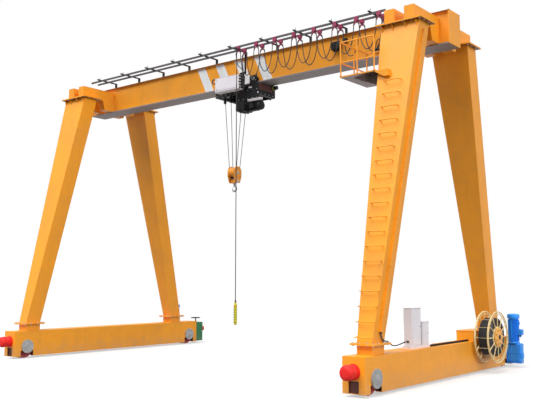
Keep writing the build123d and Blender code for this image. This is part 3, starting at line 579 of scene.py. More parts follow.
# %% Bare metal, rubber and plastic
def metal(name, colour, rough, metallic, rust):
    """Steel or iron: a tone that wanders, a fine grain, and rust where a coarse noise peaks."""
    f = Finish(name)
    tone = f.mix(f.noise(8, 5).ease(0.3, 0.75), np.array(colour) * 0.8, np.array(colour) * 1.12)
    rusty = f.noise(5.5, 6).ease(0.60 - 0.2 * rust, 0.72) * rust
    base = f.mix(rusty, tone, (0.16, 0.065, 0.03))
    return f.done(base, rough + f.noise(30, 3) * 0.15 + rusty * 0.35, f.noise(60, 4), 0.0005,
                  metallic - rusty * 0.7 * metallic)


def moulded(name, colour, rough, dust=0.25):
    """Rubber or plastic: one colour, a fine grain, and pale dust that gathers in patches."""
    f = Finish(name, specular_ior_level=0.4)
    dusty = f.noise(4.2, 5).ease(0.5, 0.8) * dust
    tone = f.mix(f.noise(15, 3) * 0.5, colour, np.array(colour) * 0.78)
    base = f.mix(dusty, tone, (0.30, 0.27, 0.24))
    return f.done(base, rough + dusty * 0.3 + f.noise(40, 2) * 0.08, f.noise(180, 2), 0.0003)


def stranded(name, colour):
    """Wire rope: six strands wind round it, one turn every 7 cm, as sharp dark lines and rounded backs."""
    f = Finish(name)
    way = f.node("UVMap", {"uv_map": "along_and_round"}, {})
    x, y = (f.node("SeparateXYZ", {}, {0: way}, k) for k in (0, 1))
    wave = abs((x / 0.07 + y).math("MULTIPLY", 6 * np.pi).math("SINE"))
    backs = f.mix(f.noise(9, 4), colour, np.array(colour) * 0.6)
    base = f.mix(wave.ease(0.0, 0.5), (0.03, 0.028, 0.025), backs)
    return f.done(base, 0.42 + f.noise(50, 2) * 0.15, wave, 0.0015, 0.30)


finishes |= {
    "bearing_grey": metal("cast_bearing_grey", (0.36, 0.36, 0.365), 0.5, 0.3, 0.2),
    "rail_grey": metal("galvanised_rail", (0.085, 0.078, 0.088), 0.5, 0.4, 0.1),
    "hook_steel": metal("forged_hook_steel", (0.23, 0.235, 0.245), 0.4, 0.8, 0.3),
    "bolt_steel": metal("zinc_bolt_steel", (0.42, 0.42, 0.40), 0.35, 0.85, 0.25),
    "rope_steel": stranded("stranded_wire_rope", (0.20, 0.195, 0.19)),
    "cable_black": moulded("cable_rubber", (0.018, 0.018, 0.020), 0.5),
    "buffer_red": moulded("buffer_red_rubber", (0.80, 0.012, 0.010), 0.55, dust=0.06),
    "carrier_red": moulded("carrier_red_plastic", (0.33, 0.035, 0.105), 0.38),
    "pendant_green": moulded("pendant_shell_green", (0.62, 0.57, 0.030), 0.45),
    "button_black": moulded("button_black_rubber", (0.022, 0.022, 0.025), 0.45),
    "stop_red": moulded("stop_button_red", (0.75, 0.020, 0.015), 0.3, dust=0.1),
    "ring_green": moulded("buffer_ring_green", (0.40, 0.52, 0.05), 0.4),
}
print("finishes in all:", len(finishes))

# %% [markdown]
# The yard itself is a broad round slab. In the photograph it has been cut away to white, so here it is white
# to the eye and keeps only the crane's soft shadow. To the other rays it is dull, as real concrete is, so it
# doesn't light the undersides too strongly from below. It fades out towards its rim.

# %% Yard floor
def yard_floor():
    """Concrete, white to the eye and dull to other rays, which fades out ten to twenty-four metres away."""
    f = Finish("pale_yard", specular_ior_level=0.1, emission_strength=1.0)
    far = f.node("VectorMath", {"operation": "LENGTH"}, {0: f.place}, "Value").ease(10.0, 24.0)
    f.links.new((1 - far).socket, f.shader.inputs["Alpha"])
    seen = f.node("LightPath", {}, {}, "Is Camera Ray")
    for ray in ("Is Glossy Ray", "Is Transmission Ray"):
        seen = seen.math("MAXIMUM", f.node("LightPath", {}, {}, ray))
    f.links.new(f.mix(seen, (0.0, 0.0, 0.0), (0.50, 0.50, 0.50)).socket, f.shader.inputs["Emission Color"])
    tone = f.mix(f.noise(1.2, 5), (0.46, 0.46, 0.46), (0.43, 0.43, 0.43))
    return f.done(f.mix(seen, (0.16, 0.155, 0.15), tone), 0.85, f.noise(40, 3), 0.0004)


circle = around((0, 0, 0), 35, np.arange(96) * np.pi / 48, "z")[:, :2]
floor = piece("yard_floor", slab(circle, -0.02, 0.0, "z", 0.001))
floor.data.materials.append(yard_floor())
del made["yard_floor"]

# %% [markdown]
# Each solid of the crane already names the slot of its finish in the imported record. The solids whose shapes
# are right keep their meshes and only get this better material. The girder gets its bands and painted shade
# along its top flange's edge, the leg heads get painted shade below their flange plates, the platform's floor
# gets grey primer below with painted shadow towards the leg, and the parts near the ground get the dustier
# yellow.

# %% Dress the solids
slots = {part["node"]: part["material_slot"] for part in frame["record"]["subparts"]}
special = {"girder_box": "girder_yellow", "platform_floor": "deck_yellow",
           "leg_head_flanges": "head_yellow", "cabinet_frame": "cabinet_grey"}
special |= {name: "ground_yellow" for name in ("ground_beam_left", "ground_beam_right", "leg_pedestals",
                                               "reel_stand")}
for name, node in frame["nodes"].items():
    node.data.materials.clear()
    node.data.materials.append(finishes[special.get(name, slots[name])])
print("dressed", len(frame["nodes"]), "solids")

# %% [markdown]
# The hoist hangs its load on four falls of wire rope. Two end in sockets under the trolley's frame and two
# run up to the drum behind the girder. Each fall is a straight tube with only two rings of points, one at each
# end, laid once between trolley and hook block where they hang now. The rope on the drum could be a helix,
# but a turned part with a bump for every turn looks the same.

# %% Rope falls and drum
hook_x, sheave_z, frame_low, rope_radius = -0.354, 5.080, 7.150, 0.009
fall_tops = [(-0.537, -0.200, frame_low), (-0.318, -0.200, frame_low),
             (-0.4454, 0.3929, frame_low), (-0.2643, 0.3929, frame_low)]
fall_feet = [(x, y, sheave_z) for y in (-0.130, 0.130) for x in (-0.414, -0.294)]
falls = piece("wire_rope_falls", [tube(ends, rope_radius, 14) for ends in zip(fall_tops, fall_feet)],
              stands_for=["hoist_ropes"], slot="rope_steel")
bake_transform(falls)

drum, drum_left, drum_right, drum_turns = (0, 0.600, 7.450), -0.70, 0.26, 54
leads = [tube([top, (x, drum[1] - 0.166, drum[2])], rope_radius, 14)
         for top, x in zip(fall_tops[2:], (-0.450, -0.260))]
along = np.linspace(drum_left, drum_right, drum_turns * 6 + 1)
phase = np.pi * drum_turns * (along - drum_left) / (drum_right - drum_left)
wound = turned(np.c_[along, 0.151 + rope_radius * np.abs(np.cos(phase)) ** 0.6], drum, "x")
piece("rope_on_drum", leads + [wound], "trolley", slot="rope_steel")
drum_parts = [turned([(x0, 0.05), (x0, 0.160), (x1, 0.160), (x1, 0.151)], drum, "x")
              for x0, x1 in ((-0.740, drum_left), (0.300, drum_right))]
drum_parts += [turned([(drum_left, 0.148), (drum_right, 0.148)], drum, "x")]
piece("drum_flanges", drum_parts, "trolley", ["hoist_drum"], "dark_steel")
print("rope falls:", len(fall_tops))

# %% [markdown]
# The hook block is two rounded cheeks with a pair of grooved sheaves between them. The cheeks are slabs cut
# from an outline with a half-round top; the sheaves are turned parts whose profile dips where the rope lies.
# The hook swings on a nut in the crosshead: its bowl is a tube whose radius grows at the bottom, where the
# load pulls, and shrinks to the tip, with a sprung latch across its mouth.

# %% Hook block, sheaves and hook
cheek_in, cheek_out, dome_z = 0.100, 0.122, 5.105
arch = np.linspace(0, np.pi, 17)
dome = np.c_[0.155 * np.cos(arch), dome_z + 0.155 * np.sin(arch)]
cheek_outline = np.r_[dome, [(-0.155, 4.98), (-0.09, 4.80), (0.09, 4.80), (0.155, 4.98)]]
block = [slab(cheek_outline, hook_x + x0, hook_x + x1, "x", 0.004)
         for x0, x1 in ((-cheek_out, -cheek_in), (cheek_in, cheek_out))]
t = np.linspace(-1.10, 0.80, 16)
arc = np.c_[np.cos(t), np.sin(t)]
guard = np.r_[0.154 * arc, 0.149 * arc[::-1]] + (0, dome_z)
guard = slab(guard, hook_x - cheek_in, hook_x + cheek_in, "x", 0.001)
block += [guard, guard.mirrored("y"), post(hook_x, 0, cheek_in, 0.045, 4.800, 4.890, 0.008)]
piece("hook_block_cheeks", block, "hook_block", ["hook_block"], "hook_block_orange")
pin = ((cheek_out, 0.042), (0.128, 0.042), (0.131, 0.030))
pins = [turned(np.multiply(pin, (s, 1)), (hook_x, 0, z), "x", 24) for s in (-1, 1) for z in (sheave_z, 4.845)]
corners = ((-0.11, 5.00), (0.11, 5.00), (-0.07, 5.20), (0.07, 5.20))
pins += [bolts([(hook_x + s * cheek_out, y, z) for y, z in corners], "x", 0.009, 0.008, s) for s in (-1, 1)]
piece("hook_block_pins", pins, "hook_block", slot="bolt_steel")
half_groove = np.array([(-0.025, 0.028), (-0.025, 0.137), (-0.022, 0.139), (-0.018, 0.139), (-0.010, 0.125),
                        (-0.005, 0.1215), (0.0, 0.1205)])
groove = np.r_[half_groove, half_groove[-2::-1] * (-1, 1)]
sheaves = [turned(groove, (hook_x + x, 0, sheave_z), "x") for x in (-0.060, 0.060)]
sheaves += [turned([(-cheek_in, 0.030), (cheek_in, 0.030)], (hook_x, 0, sheave_z), "x", 24)]
piece("rope_sheaves", sheaves, "hook_block", ["hook_block_sheaves"], "dark_steel")

bowl_radius = 0.070
t = np.radians(np.linspace(72, -182, 30))
bowl = np.c_[bowl_radius * np.cos(t), 4.643 + bowl_radius * np.sin(t)]
bend = np.r_[[(0.0, 4.760), (0.0, 4.735), (0.010, 4.719)], bowl, [(-0.074, 4.655)]]
thick = np.interp(np.linspace(0, 1, len(bend)), [0, 0.15, 0.4, 0.6, 0.8, 0.95, 1],
                  [0.028, 0.025, 0.0225, 0.0245, 0.020, 0.013, 0.006])
hook_line = (hook_x, 0, 0)
hook = [tube(np.c_[hook_x + bend[:, 0], np.zeros(len(bend)), bend[:, 1]], thick, 20),
        turned([(4.735, 0.026), (4.742, 0.028), (4.930, 0.028), (4.933, 0.024)], hook_line, "z", 32),
        turned([(4.8903, 0.040), (4.8935, 0.045), (4.924, 0.045), (4.929, 0.040)], hook_line, "z", 8),
        tube([(hook_x + 0.004, 0, 4.716), (hook_x - 0.030, 0, 4.690), (hook_x - 0.066, 0, 4.664)], 0.0045, 8)]
piece("forged_hook", hook, "hook", ["hook"], "hook_steel")
print("hook bowl is", round(2 * (bowl_radius - 0.0225) * 1000), "mm wide inside")

# %% [markdown]
# The trolley runs on the girder's lower flange. Its side plates are right as they are, so they only gain
# bolts, two small pale plates, a red-brown end plate, and a rubber buffer with a green ring at its foot. The
# wheels are turned parts with a rounded tread, the gearbox is a slab with cast ribs, and the motor is a star
# of cooling fins: an outline whose radius steps in and out forty times.

# %% A ring of cooling fins
def finned(inner, outer, count, low, high, centre, axis):
    """Slab along an axis whose outline's radius steps between inner and outer, count times round."""
    t = np.arange(count * 4) * 2 * np.pi / (count * 4)
    r = np.tile([inner, outer, outer, inner], count)
    rings = np.stack([np.c_[r * np.cos(t), r * np.sin(t), np.full(len(t), z)] for z in (low, high)])
    return skin(rings[..., axis_order[axis]]).moved(*centre)


# %% Trolley wheels, bolts and buffer
roller_z, roller_xs, trolley_end, plate_y = 7.5033, (-0.570, 0.600), 0.790, 0.350
tread = ((0.208, 0.030), (0.208, 0.076), (0.214, 0.085), (0.258, 0.085), (0.264, 0.079), (0.264, 0.048),
         (0.272, 0.044), (0.276, 0.022), (0.366, 0.022), (0.370, 0.018))
rollers = [turned(np.multiply(tread, (s, 1)), (x, 0, roller_z), "y", 40)
           for x in roller_xs for s in (-1, 1)]
piece("trolley_rollers", rollers, "trolley", ["trolley_wheels"], "dark_steel")
cap = ((plate_y, 0.050), (0.356, 0.050), (0.358, 0.044))
plate_bolts = [turned(np.multiply(cap, (s, 1)), (x, 0, roller_z), "y", 28)
               for x in roller_xs for s in (-1, 1)]
for s, low in ((-1, 6.98), (1, 7.09)):
    spots = [(x + dx, roller_z + dz) for x in roller_xs for dx in (-0.085, 0.085) for dz in (-0.055, 0.060)]
    spots += [(x, 7.20) for x in np.linspace(-0.70, 0.73, 10)]
    spots += [(x, low) for x in np.linspace(0.10, 0.73, 5)]
    plate_bolts += [bolts([(x, s * plate_y, z) for x, z in spots], "y", 0.009, 0.008, s)]
plate_bolts += [bolts([(trolley_end, y, 7.09) for y in (-0.25, -0.08, 0.08, 0.25)], "x", 0.011, 0.010)]
piece("trolley_bolts", plate_bolts, "trolley", slot="bolt_steel")
end_plate = casing(trolley_end, trolley_end + 0.006, -0.325, 0.225, 7.180, 7.344, 0.002)
piece("trolley_end_plate", end_plate, "trolley", slot="primer_red")
bumper = [(0.002, 0.046), (0.040, 0.045), (0.048, 0.040), (0.066, 0.036), (0.098, 0.020), (0.108, 0.010)]
piece("trolley_bumper", turned(bumper, (trolley_end, 0.300, 7.328), "x", 32), "trolley", slot="button_black")
ring = hoop((trolley_end + 0.015, 0.290, 7.320), 0.060, "x", 0.0135, 48, 12)
piece("trolley_bumper_ring", ring, "trolley", slot="ring_green")
pale_plates = casings((0.450, 0.560, -0.356, -0.348, 7.250, 7.290, 0.002),
                      (0.752, 0.788, -0.358, -0.348, 7.080, 7.118, 0.002))
piece("trolley_plates", pale_plates, "trolley", slot="cabinet_grey")

# %% Gearbox, motor and cooler
outlines = (((-0.475, -0.065, 6.640, 6.925, 0.075, 6), 0.108, 0.358, 0.012),
            ((-0.480, -0.060, 6.622, 6.930, 0.080, 6), 0.225, 0.248, 0.003),
            ((-0.470, -0.090, 6.630, 6.928, 0.070, 6), 0.356, 0.380, 0.003))
case = [slab(rounded(*limits), x0, x1, "x", bevel) for limits, x0, x1, bevel in outlines]
case += casings((0.090, 0.112, -0.470, -0.080, 6.660, 6.930, 0.006), (0.14, 0.20, -0.36, -0.30, 6.620, 6.642),
                *((x, x + 0.010, -0.478, -0.470, 6.70, 6.86, 0.002) for x in (0.14, 0.18, 0.27, 0.30, 0.33)))
piece("hoist_gear_case", case, "trolley", ["hoist_gearbox"], "dark_steel")
rim = [(0.380, -0.28 + 0.145 * np.cos(t), 6.76 + 0.118 * np.sin(t)) for t in np.arange(0.6, 3, 0.6)]
spots = [(0.090, y, z) for y in (-0.43, -0.28, -0.12) for z in (6.69, 6.90)]
gear_bolts = [bolts(spots, "x", 0.010, 0.009, -1), bolts(rim, "x", 0.009, 0.008)]
piece("gear_case_bolts", gear_bolts, "trolley", slot="bolt_steel")

motor_line, fin_count = (0, -0.280, 6.760), 40
flange = [(0.380, 0.124), (0.398, 0.124), (0.404, 0.108)]
cowl = [(0.760, 0.112), (0.764, 0.123), (0.777, 0.125), (0.832, 0.124), (0.852, 0.116), (0.864, 0.098),
        (0.870, 0.065)]
motor = [turned(flange, motor_line, "x"), finned(0.098, 0.121, fin_count, 0.402, 0.762, motor_line, "x"),
         turned(cowl, motor_line, "x")]
motor += casings((0.50, 0.64, -0.402, -0.36, 6.70, 6.82, 0.006), (0.44, 0.74, -0.34, -0.22, 6.634, 6.66))
piece("hoist_motor_body", motor, "trolley", ["hoist_motor"], "dark_steel")
slats = casings(*((x, x + 0.016, -0.430, -0.352, 6.872, 6.918, 0.002) for x in np.linspace(0.480, 0.924, 18)))
cooler = slats + [casing(0.475, 0.945, -0.432, -0.352, 6.916, 6.932, 0.002)]
piece("motor_cooler", cooler, "trolley", slot="cabinet_grey")
print("motor fins:", fin_count, "cooler slats:", len(slats))

# %% [markdown]
# The pale box beside the girder holds the hoist's electrics. It is a bevelled casing with a raised lid, a
# rain edge and lifting ears. Black sockets and cable glands stand in rows on its end, towards the gearbox. At
# its other end a short hose comes out, bends up and goes back in: a tube along a spline, like the cables.

# %% Hoist control box
left, right, lid_y = -0.450, 0.400, -0.720
shell = casings((left, right, -0.712, -0.500, 7.190, 7.580, 0.010),
                (-0.415, 0.365, lid_y, -0.711, 7.235, 7.545, 0.004, "y"),
                (left, right, -0.718, -0.506, 7.566, 7.578, 0.003),
                *((x, x + 0.05, -0.62, -0.58, 7.570, 7.582, 0.002) for x in (-0.40, 0.30)))
piece("control_box_shell", shell, "trolley", ["hoist_control_box"], "cabinet_grey")
sockets = [part for z in (7.30, 7.38, 7.46, 7.54) for y in (-0.680, -0.640)
           for part in gland(right, y, z, "x", 1, 0.009)]
sockets += casings((right, 0.455, -0.610, -0.520, 7.215, 7.570, 0.006),
                   (0.455, 0.480, -0.595, -0.535, 7.235, 7.330), (0.455, 0.475, -0.600, -0.530, 7.380, 7.545),
                   (right, 0.430, -0.690, -0.645, 7.215, 7.245))
hose_radius = 0.016
sockets += gland(left, -0.665, 7.460, "x", -1, hose_radius, 0.05)
hose = np.array([(-0.455, -0.665, 7.460), (-0.575, -0.665, 7.450), (-0.590, -0.665, 7.560),
                 (-0.520, -0.660, 7.600), (-0.455, -0.610, 7.540)])
sockets += [tube(spline_points("elbow_route", hose), hose_radius)]
sockets += gland(left, -0.610, 7.540, "x", -1, hose_radius, 0.03)
screw = [(-0.722, 0.010), (-0.726, 0.010), (-0.728, 0.007)]
sockets += [turned(screw, (x, 0, z), "y", 12) for x in (-0.385, 0.335) for z in (7.27, 7.51)]
piece("control_box_sockets", sockets, "trolley", slot="button_black")
print("sockets and glands:", len(sockets))

# %% [markdown]
# A festoon carrier hangs from each rail: two cheeks that hug the rail, rollers inside it, and below them a
# saddle that the cables lie over, a strip bent into half a ring and held by two straps. A yoke joins the
# pair. Eight are alike, so one function makes them all. The first is towed by a dark arm from the trolley, a
# piece of its own because it has its own paint, and a second arm there holds the pendant's cable.

# %% Festoon carriers
half_turn, arch = np.linspace(0, np.pi, 21), np.linspace(0, np.pi, 13)
half_ring = np.c_[np.sin(half_turn), -np.cos(half_turn)]


def festoon_carrier(x):
    """Cheeks, body, saddle and rollers on each rail, and the yoke between the rails, at one place."""
    roller = [(-0.0105, 0.006), (-0.009, 0.009), (0.009, 0.009), (0.0105, 0.006)]
    parts = [casing(x - 0.014, x + 0.014, -0.846, -0.644, 8.174, 8.188, 0.002)]
    for y in rail_rows.values():
        parts += [post(x, y + s * 0.0215, 0.055, 0.0025, 8.163, 8.267, 0.001) for s in (-1, 1)]
        strip = np.r_[0.0645 * half_ring, 0.056 * half_ring[::-1]] + (saddle_z, x)
        parts += [post(x, y, 0.050, 0.020, 8.170, 8.217), slab(strip, y - 0.020, y + 0.020, "y", 0.0008)]
        parts += [post(x, y + s * 0.0205, 0.012, 0.003, 8.112, 8.174, 0.001) for s in (-1, 1)]
        parts += [post(x, y, 0.050, 0.003, 8.217, 8.247, 0.001)]
        parts += [turned(roller, (x + dx, y, 8.240), "y", 20) for dx in (-0.032, 0.032)]
        parts += [bolts([(x + dx, y + s * 0.024, 8.246) for dx in (-0.032, 0.032)], "y", 0.009, 0.006, s)
                  for s in (-1, 1)]
    return parts


carrier_nodes = ["festoon_tow_carrier", *(f"festoon_carrier_{k}" for k in range(1, 7)), "festoon_end_clamp"]
for node, x, body in zip(carrier_nodes, carrier_xs, carrier_bodies):
    piece(node + "_dressed", festoon_carrier(x), body, [node], "carrier_red")
    xs, zs = x - saddle_radius * np.cos(arch), saddle_z + saddle_radius * np.sin(arch)
    over = [tube(np.c_[xs, np.full(13, y), zs], tail_radius) for y in rail_rows.values()]
    piece(node + "_cables", over, body, slot="cable_black")
tow_arm = casings((0.506, 0.566, -0.597, -0.585, 7.580, 8.219, 0.003),
                  (0.340, 0.566, -0.597, -0.585, 7.580, 7.640, 0.003),
                  (0.522, 0.578, -0.988, -0.868, 8.174, 8.188, 0.003))
piece("festoon_tow_arm", tow_arm, "trolley", ["festoon_tow_carrier"], "dark_steel")
print("carriers:", len(carrier_nodes))

# %% [markdown]
# The cables leave the festoon at both ends. From the tow carrier a pair drops to the control box, and from
# the end clamp a pair runs down to a small terminal box on the girder's web. Each lies along its own spline
# and has a tapered sleeve at either end, so it never bends sharply where it is held.

# %% Cable tails
terminal_box = casings((4.280, 4.420, -0.256, -0.200, 7.550, 7.610, 0.006),
                       (4.288, 4.412, -0.263, -0.254, 7.556, 7.604, 0.003, "y"))
piece("web_terminal_box", terminal_box, "crane_frame", slot="dark_steel")
inner, outer = rail_rows.values()
tow, end = tow_x - saddle_radius, clamp_x + saddle_radius
tails = (
    ("control_box_tail_inner", "trolley",
     [(tow, inner, saddle_z), (tow - 0.006, inner, 7.86), (0.440, -0.570, 7.74), (0.440, -0.552, 7.570)]),
    ("control_box_tail_outer", "trolley",
     [(tow, outer, saddle_z), (tow - 0.010, outer, 7.80), (0.450, -0.640, 7.72), (0.440, -0.585, 7.68),
      (0.440, -0.582, 7.570)]),
    ("terminal_box_tail_inner", "crane_frame",
     [(end, inner, saddle_z), (end + 0.01, inner, 7.87), (4.82, -0.40, 7.78), (4.60, -0.26, 7.80),
      (4.315, -0.235, 7.87), (4.315, -0.227, 7.610)]),
    ("terminal_box_tail_outer", "crane_frame",
     [(end, outer, saddle_z), (end + 0.01, outer, 7.83), (4.88, -0.54, 7.66), (4.74, -0.28, 7.62),
      (4.385, -0.235, 7.74), (4.385, -0.227, 7.610)]))
for name, body, route in tails:
    ends = gland(*route[0], "z", -1, tail_radius, 0.05) + gland(*route[-1], "z", 1, tail_radius, 0.05)
    sleeves = piece(name + "_sleeves", ends, body, slot="button_black")
    lay_cable(name, np.array(route), tail_radius, body, ())

# %% [markdown]
# The pendant is a slim moulded shell with two columns of rubber buttons and a red stop button on top. Its
# slabs are cut to an outline with round corners, and two thin bands go round it where the halves meet.

# %% Pendant control
px, py = pendant_x, pendant_y
shell = [slab(rounded(px - w, px + w, py - d, py + d + 0.002, corner, 6), z0, z1, "z", bevel)
         for w, d, corner, z0, z1, bevel in ((0.035, 0.034, 0.018, 1.060, 1.560, 0.010),
                                             (0.030, 0.030, 0.018, 1.040, 1.062, 0.006),
                                             (0.024, 0.024, 0.016, 1.556, 1.610, 0.010),
                                             (0.0355, 0.0345, 0.018, 1.20, 1.206, 0.002),
                                             (0.0355, 0.0345, 0.018, 1.44, 1.446, 0.002))]
piece("pendant_shell", shell, "trolley", ["pendant"], "pendant_green")
button = turned([(0, 0.012), (-0.003, 0.012), (-0.006, 0.010)], (0, 0, 0), "y", 16)
spots = [(px + dx, py - 0.034, z) for dx in (-0.016, 0.016) for z in np.linspace(1.11, 1.42, 6)]
piece("pendant_buttons", button.copied(spots), "trolley", slot="button_black")
stop = [(0, 0.010), (-0.004, 0.010), (-0.004, 0.020), (-0.010, 0.017)]
piece("pendant_stop", turned(stop, (px, py - 0.034, 1.500), "y", 24), "trolley", slot="stop_red")

# %% [markdown]
# Below, four wheels in the ground beams carry the crane. Each axle end is closed by a cast cover with eight
# bolts and a domed cap, and a red-brown plate closes the beam in front of and behind each wheel; its near-black
# colour is painted shade for the beam's dark inside. The rubber buffers on the beam ends are turned parts with
# soft ribs and a rounded nose.

# %% Axle caps, buffers and wheel bays
half_span, axle_z, near_axle, far_axle = 5.630, 0.330, -2.980, 3.340
eighths = np.arange(8) * np.pi / 4 + 0.39
cap = ((-0.002, 0.110), (0.005, 0.110), (0.008, 0.100), (0.008, 0.072), (0.018, 0.066), (0.024, 0.045),
       (0.026, 0.02))
axle_caps, cap_bolts, bay_shade_plates = [], [], []
for s in (-1, 1):
    for y in (near_axle, far_axle):
        for face in (-1, 1):
            hub = (s * half_span + face * 0.285, y, axle_z)
            if y < 0 or face != s:
                axle_caps += [turned(np.multiply(cap, (face, 1)), hub, "x", 36)]
                cap_bolts += [bolts(around(hub, 0.150, eighths, "x"), "x", 0.013, 0.011, face)]
            bay_shade_plates += [post(s * half_span, y + face * 0.345, 0.236, 0.005, 0.064, 0.735, 0.002)]
piece("axle_caps", axle_caps, "crane_frame", slot="bearing_grey")
piece("axle_cover_bolts", cap_bolts, "crane_frame", slot="bolt_steel")

nose = np.array([(0, 0.150), (0.020, 0.150), (0.022, 0.132), (0.060, 0.138), (0.085, 0.140), (0.100, 0.128),
                 (0.115, 0.140), (0.150, 0.143), (0.170, 0.130), (0.185, 0.143), (0.225, 0.146),
                 (0.262, 0.140), (0.285, 0.122), (0.297, 0.095), (0.300, 0.060)])
buffers = [turned(nose * scale, (x, y, 0.470), "y") for scale, x, y in (
    ((-1, 1), -half_span, -3.370), ((-1, 1), half_span, -3.370), ((1, 1), half_span, 3.700),
    ((0.160 / 0.300, 0.090 / 0.150), -half_span, 4.120))]
piece("rubber_buffers", buffers, "crane_frame", ["beam_buffers"], "buffer_red")
# painted shade: near-black plates stand for the dark inside of the ground beams
piece("wheel_bay_plates", bay_shade_plates, "crane_frame", slot="primer_red")
print("axle ends:", len(axle_caps), "buffers:", len(buffers))

# %% [markdown]
# A blue drive turns each far wheel. Seen from the yard it is a ribbed gear case on the axle, a round flange,
# a finned motor and a fan cowl with a narrow air gap. The right one is worked out and the left is its mirror.

# %% Travel drives
motor_x, flange_z = 6.048, 0.622
motor_line = (motor_x, far_axle, 0)
case = casings((5.895, 6.262, 3.250, 3.430, 0.135, 0.600, 0.022),
               (5.880, 5.900, 3.240, 3.440, 0.115, 0.615, 0.006),
               (5.900, 6.250, 3.244, 3.436, 0.110, 0.140, 0.006), (5.905, 6.255, 3.242, 3.438, 0.355, 0.375),
               *((x, x + 0.012, 3.240, 3.440, 0.160, 0.580) for x in (5.945, 6.000, 6.150, 6.205)))
axle_cap = [(6.258, 0.090), (6.270, 0.088), (6.274, 0.076), (6.274, 0.040), (6.280, 0.034)]
cowl = [(1.205, 0.140), (1.208, 0.148), (1.215, 0.150), (1.285, 0.150), (1.306, 0.143), (1.316, 0.125),
        (1.320, 0.095), (1.312, 0.090), (1.312, 0.010)]
case += [turned(axle_cap, (0, far_axle, 0.300), "x", 36),
         turned([(0.596, 0.128), (0.600, 0.145), (flange_z, 0.145), (0.626, 0.130)], motor_line, "z"),
         turned([(0.620, 0.120), (0.650, 0.124), (0.655, 0.112)], motor_line, "z"),
         finned(0.112, 0.137, 36, 0.650, 1.180, motor_line, "z"),
         turned([(1.176, 0.118), (1.206, 0.118)], motor_line, "z"), turned(cowl, motor_line, "z")]
case += casings((6.165, 6.280, 3.275, 3.405, 0.800, 0.945, 0.008), (6.160, 6.176, 3.290, 3.390, 0.815, 0.930),
                (6.150, 6.205, 3.300, 3.380, 1.060, 1.120, 0.006),
                (6.038, 6.058, 3.194, 3.212, 0.700, 1.150, 0.003))
case += [turned([(0, 0.010), (0.014, 0.010)], (motor_x, far_axle - 0.146, 0.72), "y", 10)]
case += gland(6.222, far_axle, 0.800, "z", -1, 0.012, 0.06)
both = case + [part.mirrored("x") for part in case]
piece("travel_drives_dressed", both, "crane_frame", ["travel_drives"], "drive_blue")
drive_bolts = [bolts([(6.262, y, z) for y in (3.275, 3.405) for z in (0.17, 0.33, 0.56)], "x", 0.010, 0.010),
               bolts(around((motor_x, far_axle, flange_z), 0.137, eighths, "z"), "z", 0.009, 0.009),
               bolts([(6.280, y, z) for y in (3.290, 3.390) for z in (0.815, 0.930)], "x", 0.006, 0.004)]
piece("drive_bolts", drive_bolts + [b.mirrored("x") for b in drive_bolts], "crane_frame", slot="bolt_steel")
print("drive parts a side:", len(case))

# %% [markdown]
# Beyond the left beam's far end a screw clamp holds the crane against the wind. Its handwheel is a closed
# tube round a circle, with three spokes and a hub; the screw's thread is a turned profile of small rounded
# steps.

# %% Clamp handwheel and screw
cx, cy, hand_z, hand_radius, threads = -half_span, 3.910, 0.850, 0.150, 41
screw_line, rim_centre = (cx, cy, 0), (cx, cy, hand_z)
z = np.linspace(0.3503, 0.836, threads * 4 + 1)
ridges = 0.0175 + 0.0025 * np.abs(np.sin(np.pi * np.arange(len(z)) / 4))
hub = [(0.834, 0.026), (0.838, 0.032), (0.862, 0.032), (0.868, 0.024), (0.872, 0.012)]
wheel = [hoop(rim_centre, hand_radius, "z", 0.014, 64, 14), turned(np.c_[z, ridges], screw_line, "z", 20),
         turned(hub, screw_line, "z", 24)]
wheel += spokes(rim_centre, "z", np.radians([30, 150, 270]), 0.02, 0.148, 0.009, 10)
piece("clamp_wheel_and_screw", wheel, "handwheel", ["clamp_handwheel"], "dark_steel")
clamp_bolts = [bolts([(cx + s * 0.140, y, z) for y in (3.755, 4.065) for z in (0.14, 0.40, 0.64)],
                     "x", 0.014, 0.012, s) for s in (-1, 1)]
piece("clamp_bolts", clamp_bolts, "crane_frame", slot="bolt_steel")
collar = [(0.700, 0.060), (0.712, 0.060), (0.716, 0.048), (0.735, 0.044), (0.735, 0.0225)]
ribs = [post(cx + s * 0.1405, y + 0.025, 0.0055, 0.025, 0.10, 0.69) for s in (-1, 1) for y in (3.73, 4.04)]
ribs += [turned(collar, screw_line, "z", 28)]
piece("clamp_ribs_and_collar", ribs, "crane_frame", slot="clamp_green")

# %% [markdown]
# Two enamelled cabinets stand on the right ground beam. Each is a casing with a separate door, a rain hood
# and one small round lock, and its cables come up through the floor. They are plain because the photograph
# shows no more. A dark duct along the beam takes the cables on towards the reel.

# %% Electric cabinets
shells, fittings = [], []
for y0, y1, top in ((-1.330, -0.930, 1.590), (-0.870, -0.580, 1.290)):
    shells += casings((5.552, 5.740, y0 + 0.002, y1 - 0.002, 0.812, top - 0.012, 0.006),
                      (5.738, 5.750, y0 + 0.018, y1 - 0.018, 0.840, top - 0.034, 0.004, "x"),
                      (5.545, 5.757, y0 - 0.004, y1 + 0.004, top - 0.014, top),
                      (5.560, 5.735, y0 + 0.01, y1 - 0.01, 0.802, 0.815, 0.002))
    lock_at = (0, y1 - 0.045, (0.81 + top) / 2)
    fittings += [turned([(5.748, 0.011), (5.756, 0.011), (5.758, 0.008)], lock_at, "x", 16)]
    fittings += [part for y in (y0 + 0.10, y0 + 0.16) for part in gland(5.62, y, 0.806, "z", 1, 0.004, 0.004)]
piece("cabinet_shells", shells, "crane_frame", ["electric_cabinets"], "cabinet_grey")
piece("cabinet_fittings", fittings, "crane_frame", slot="button_black")
duct = casings((5.700, 5.752, -0.565, 1.338, 0.748, 0.782),
               (5.696, 5.756, -0.565, 1.338, 0.780, 0.792, 0.003))
piece("beam_cable_duct", duct, "crane_frame", slot="dark_steel")

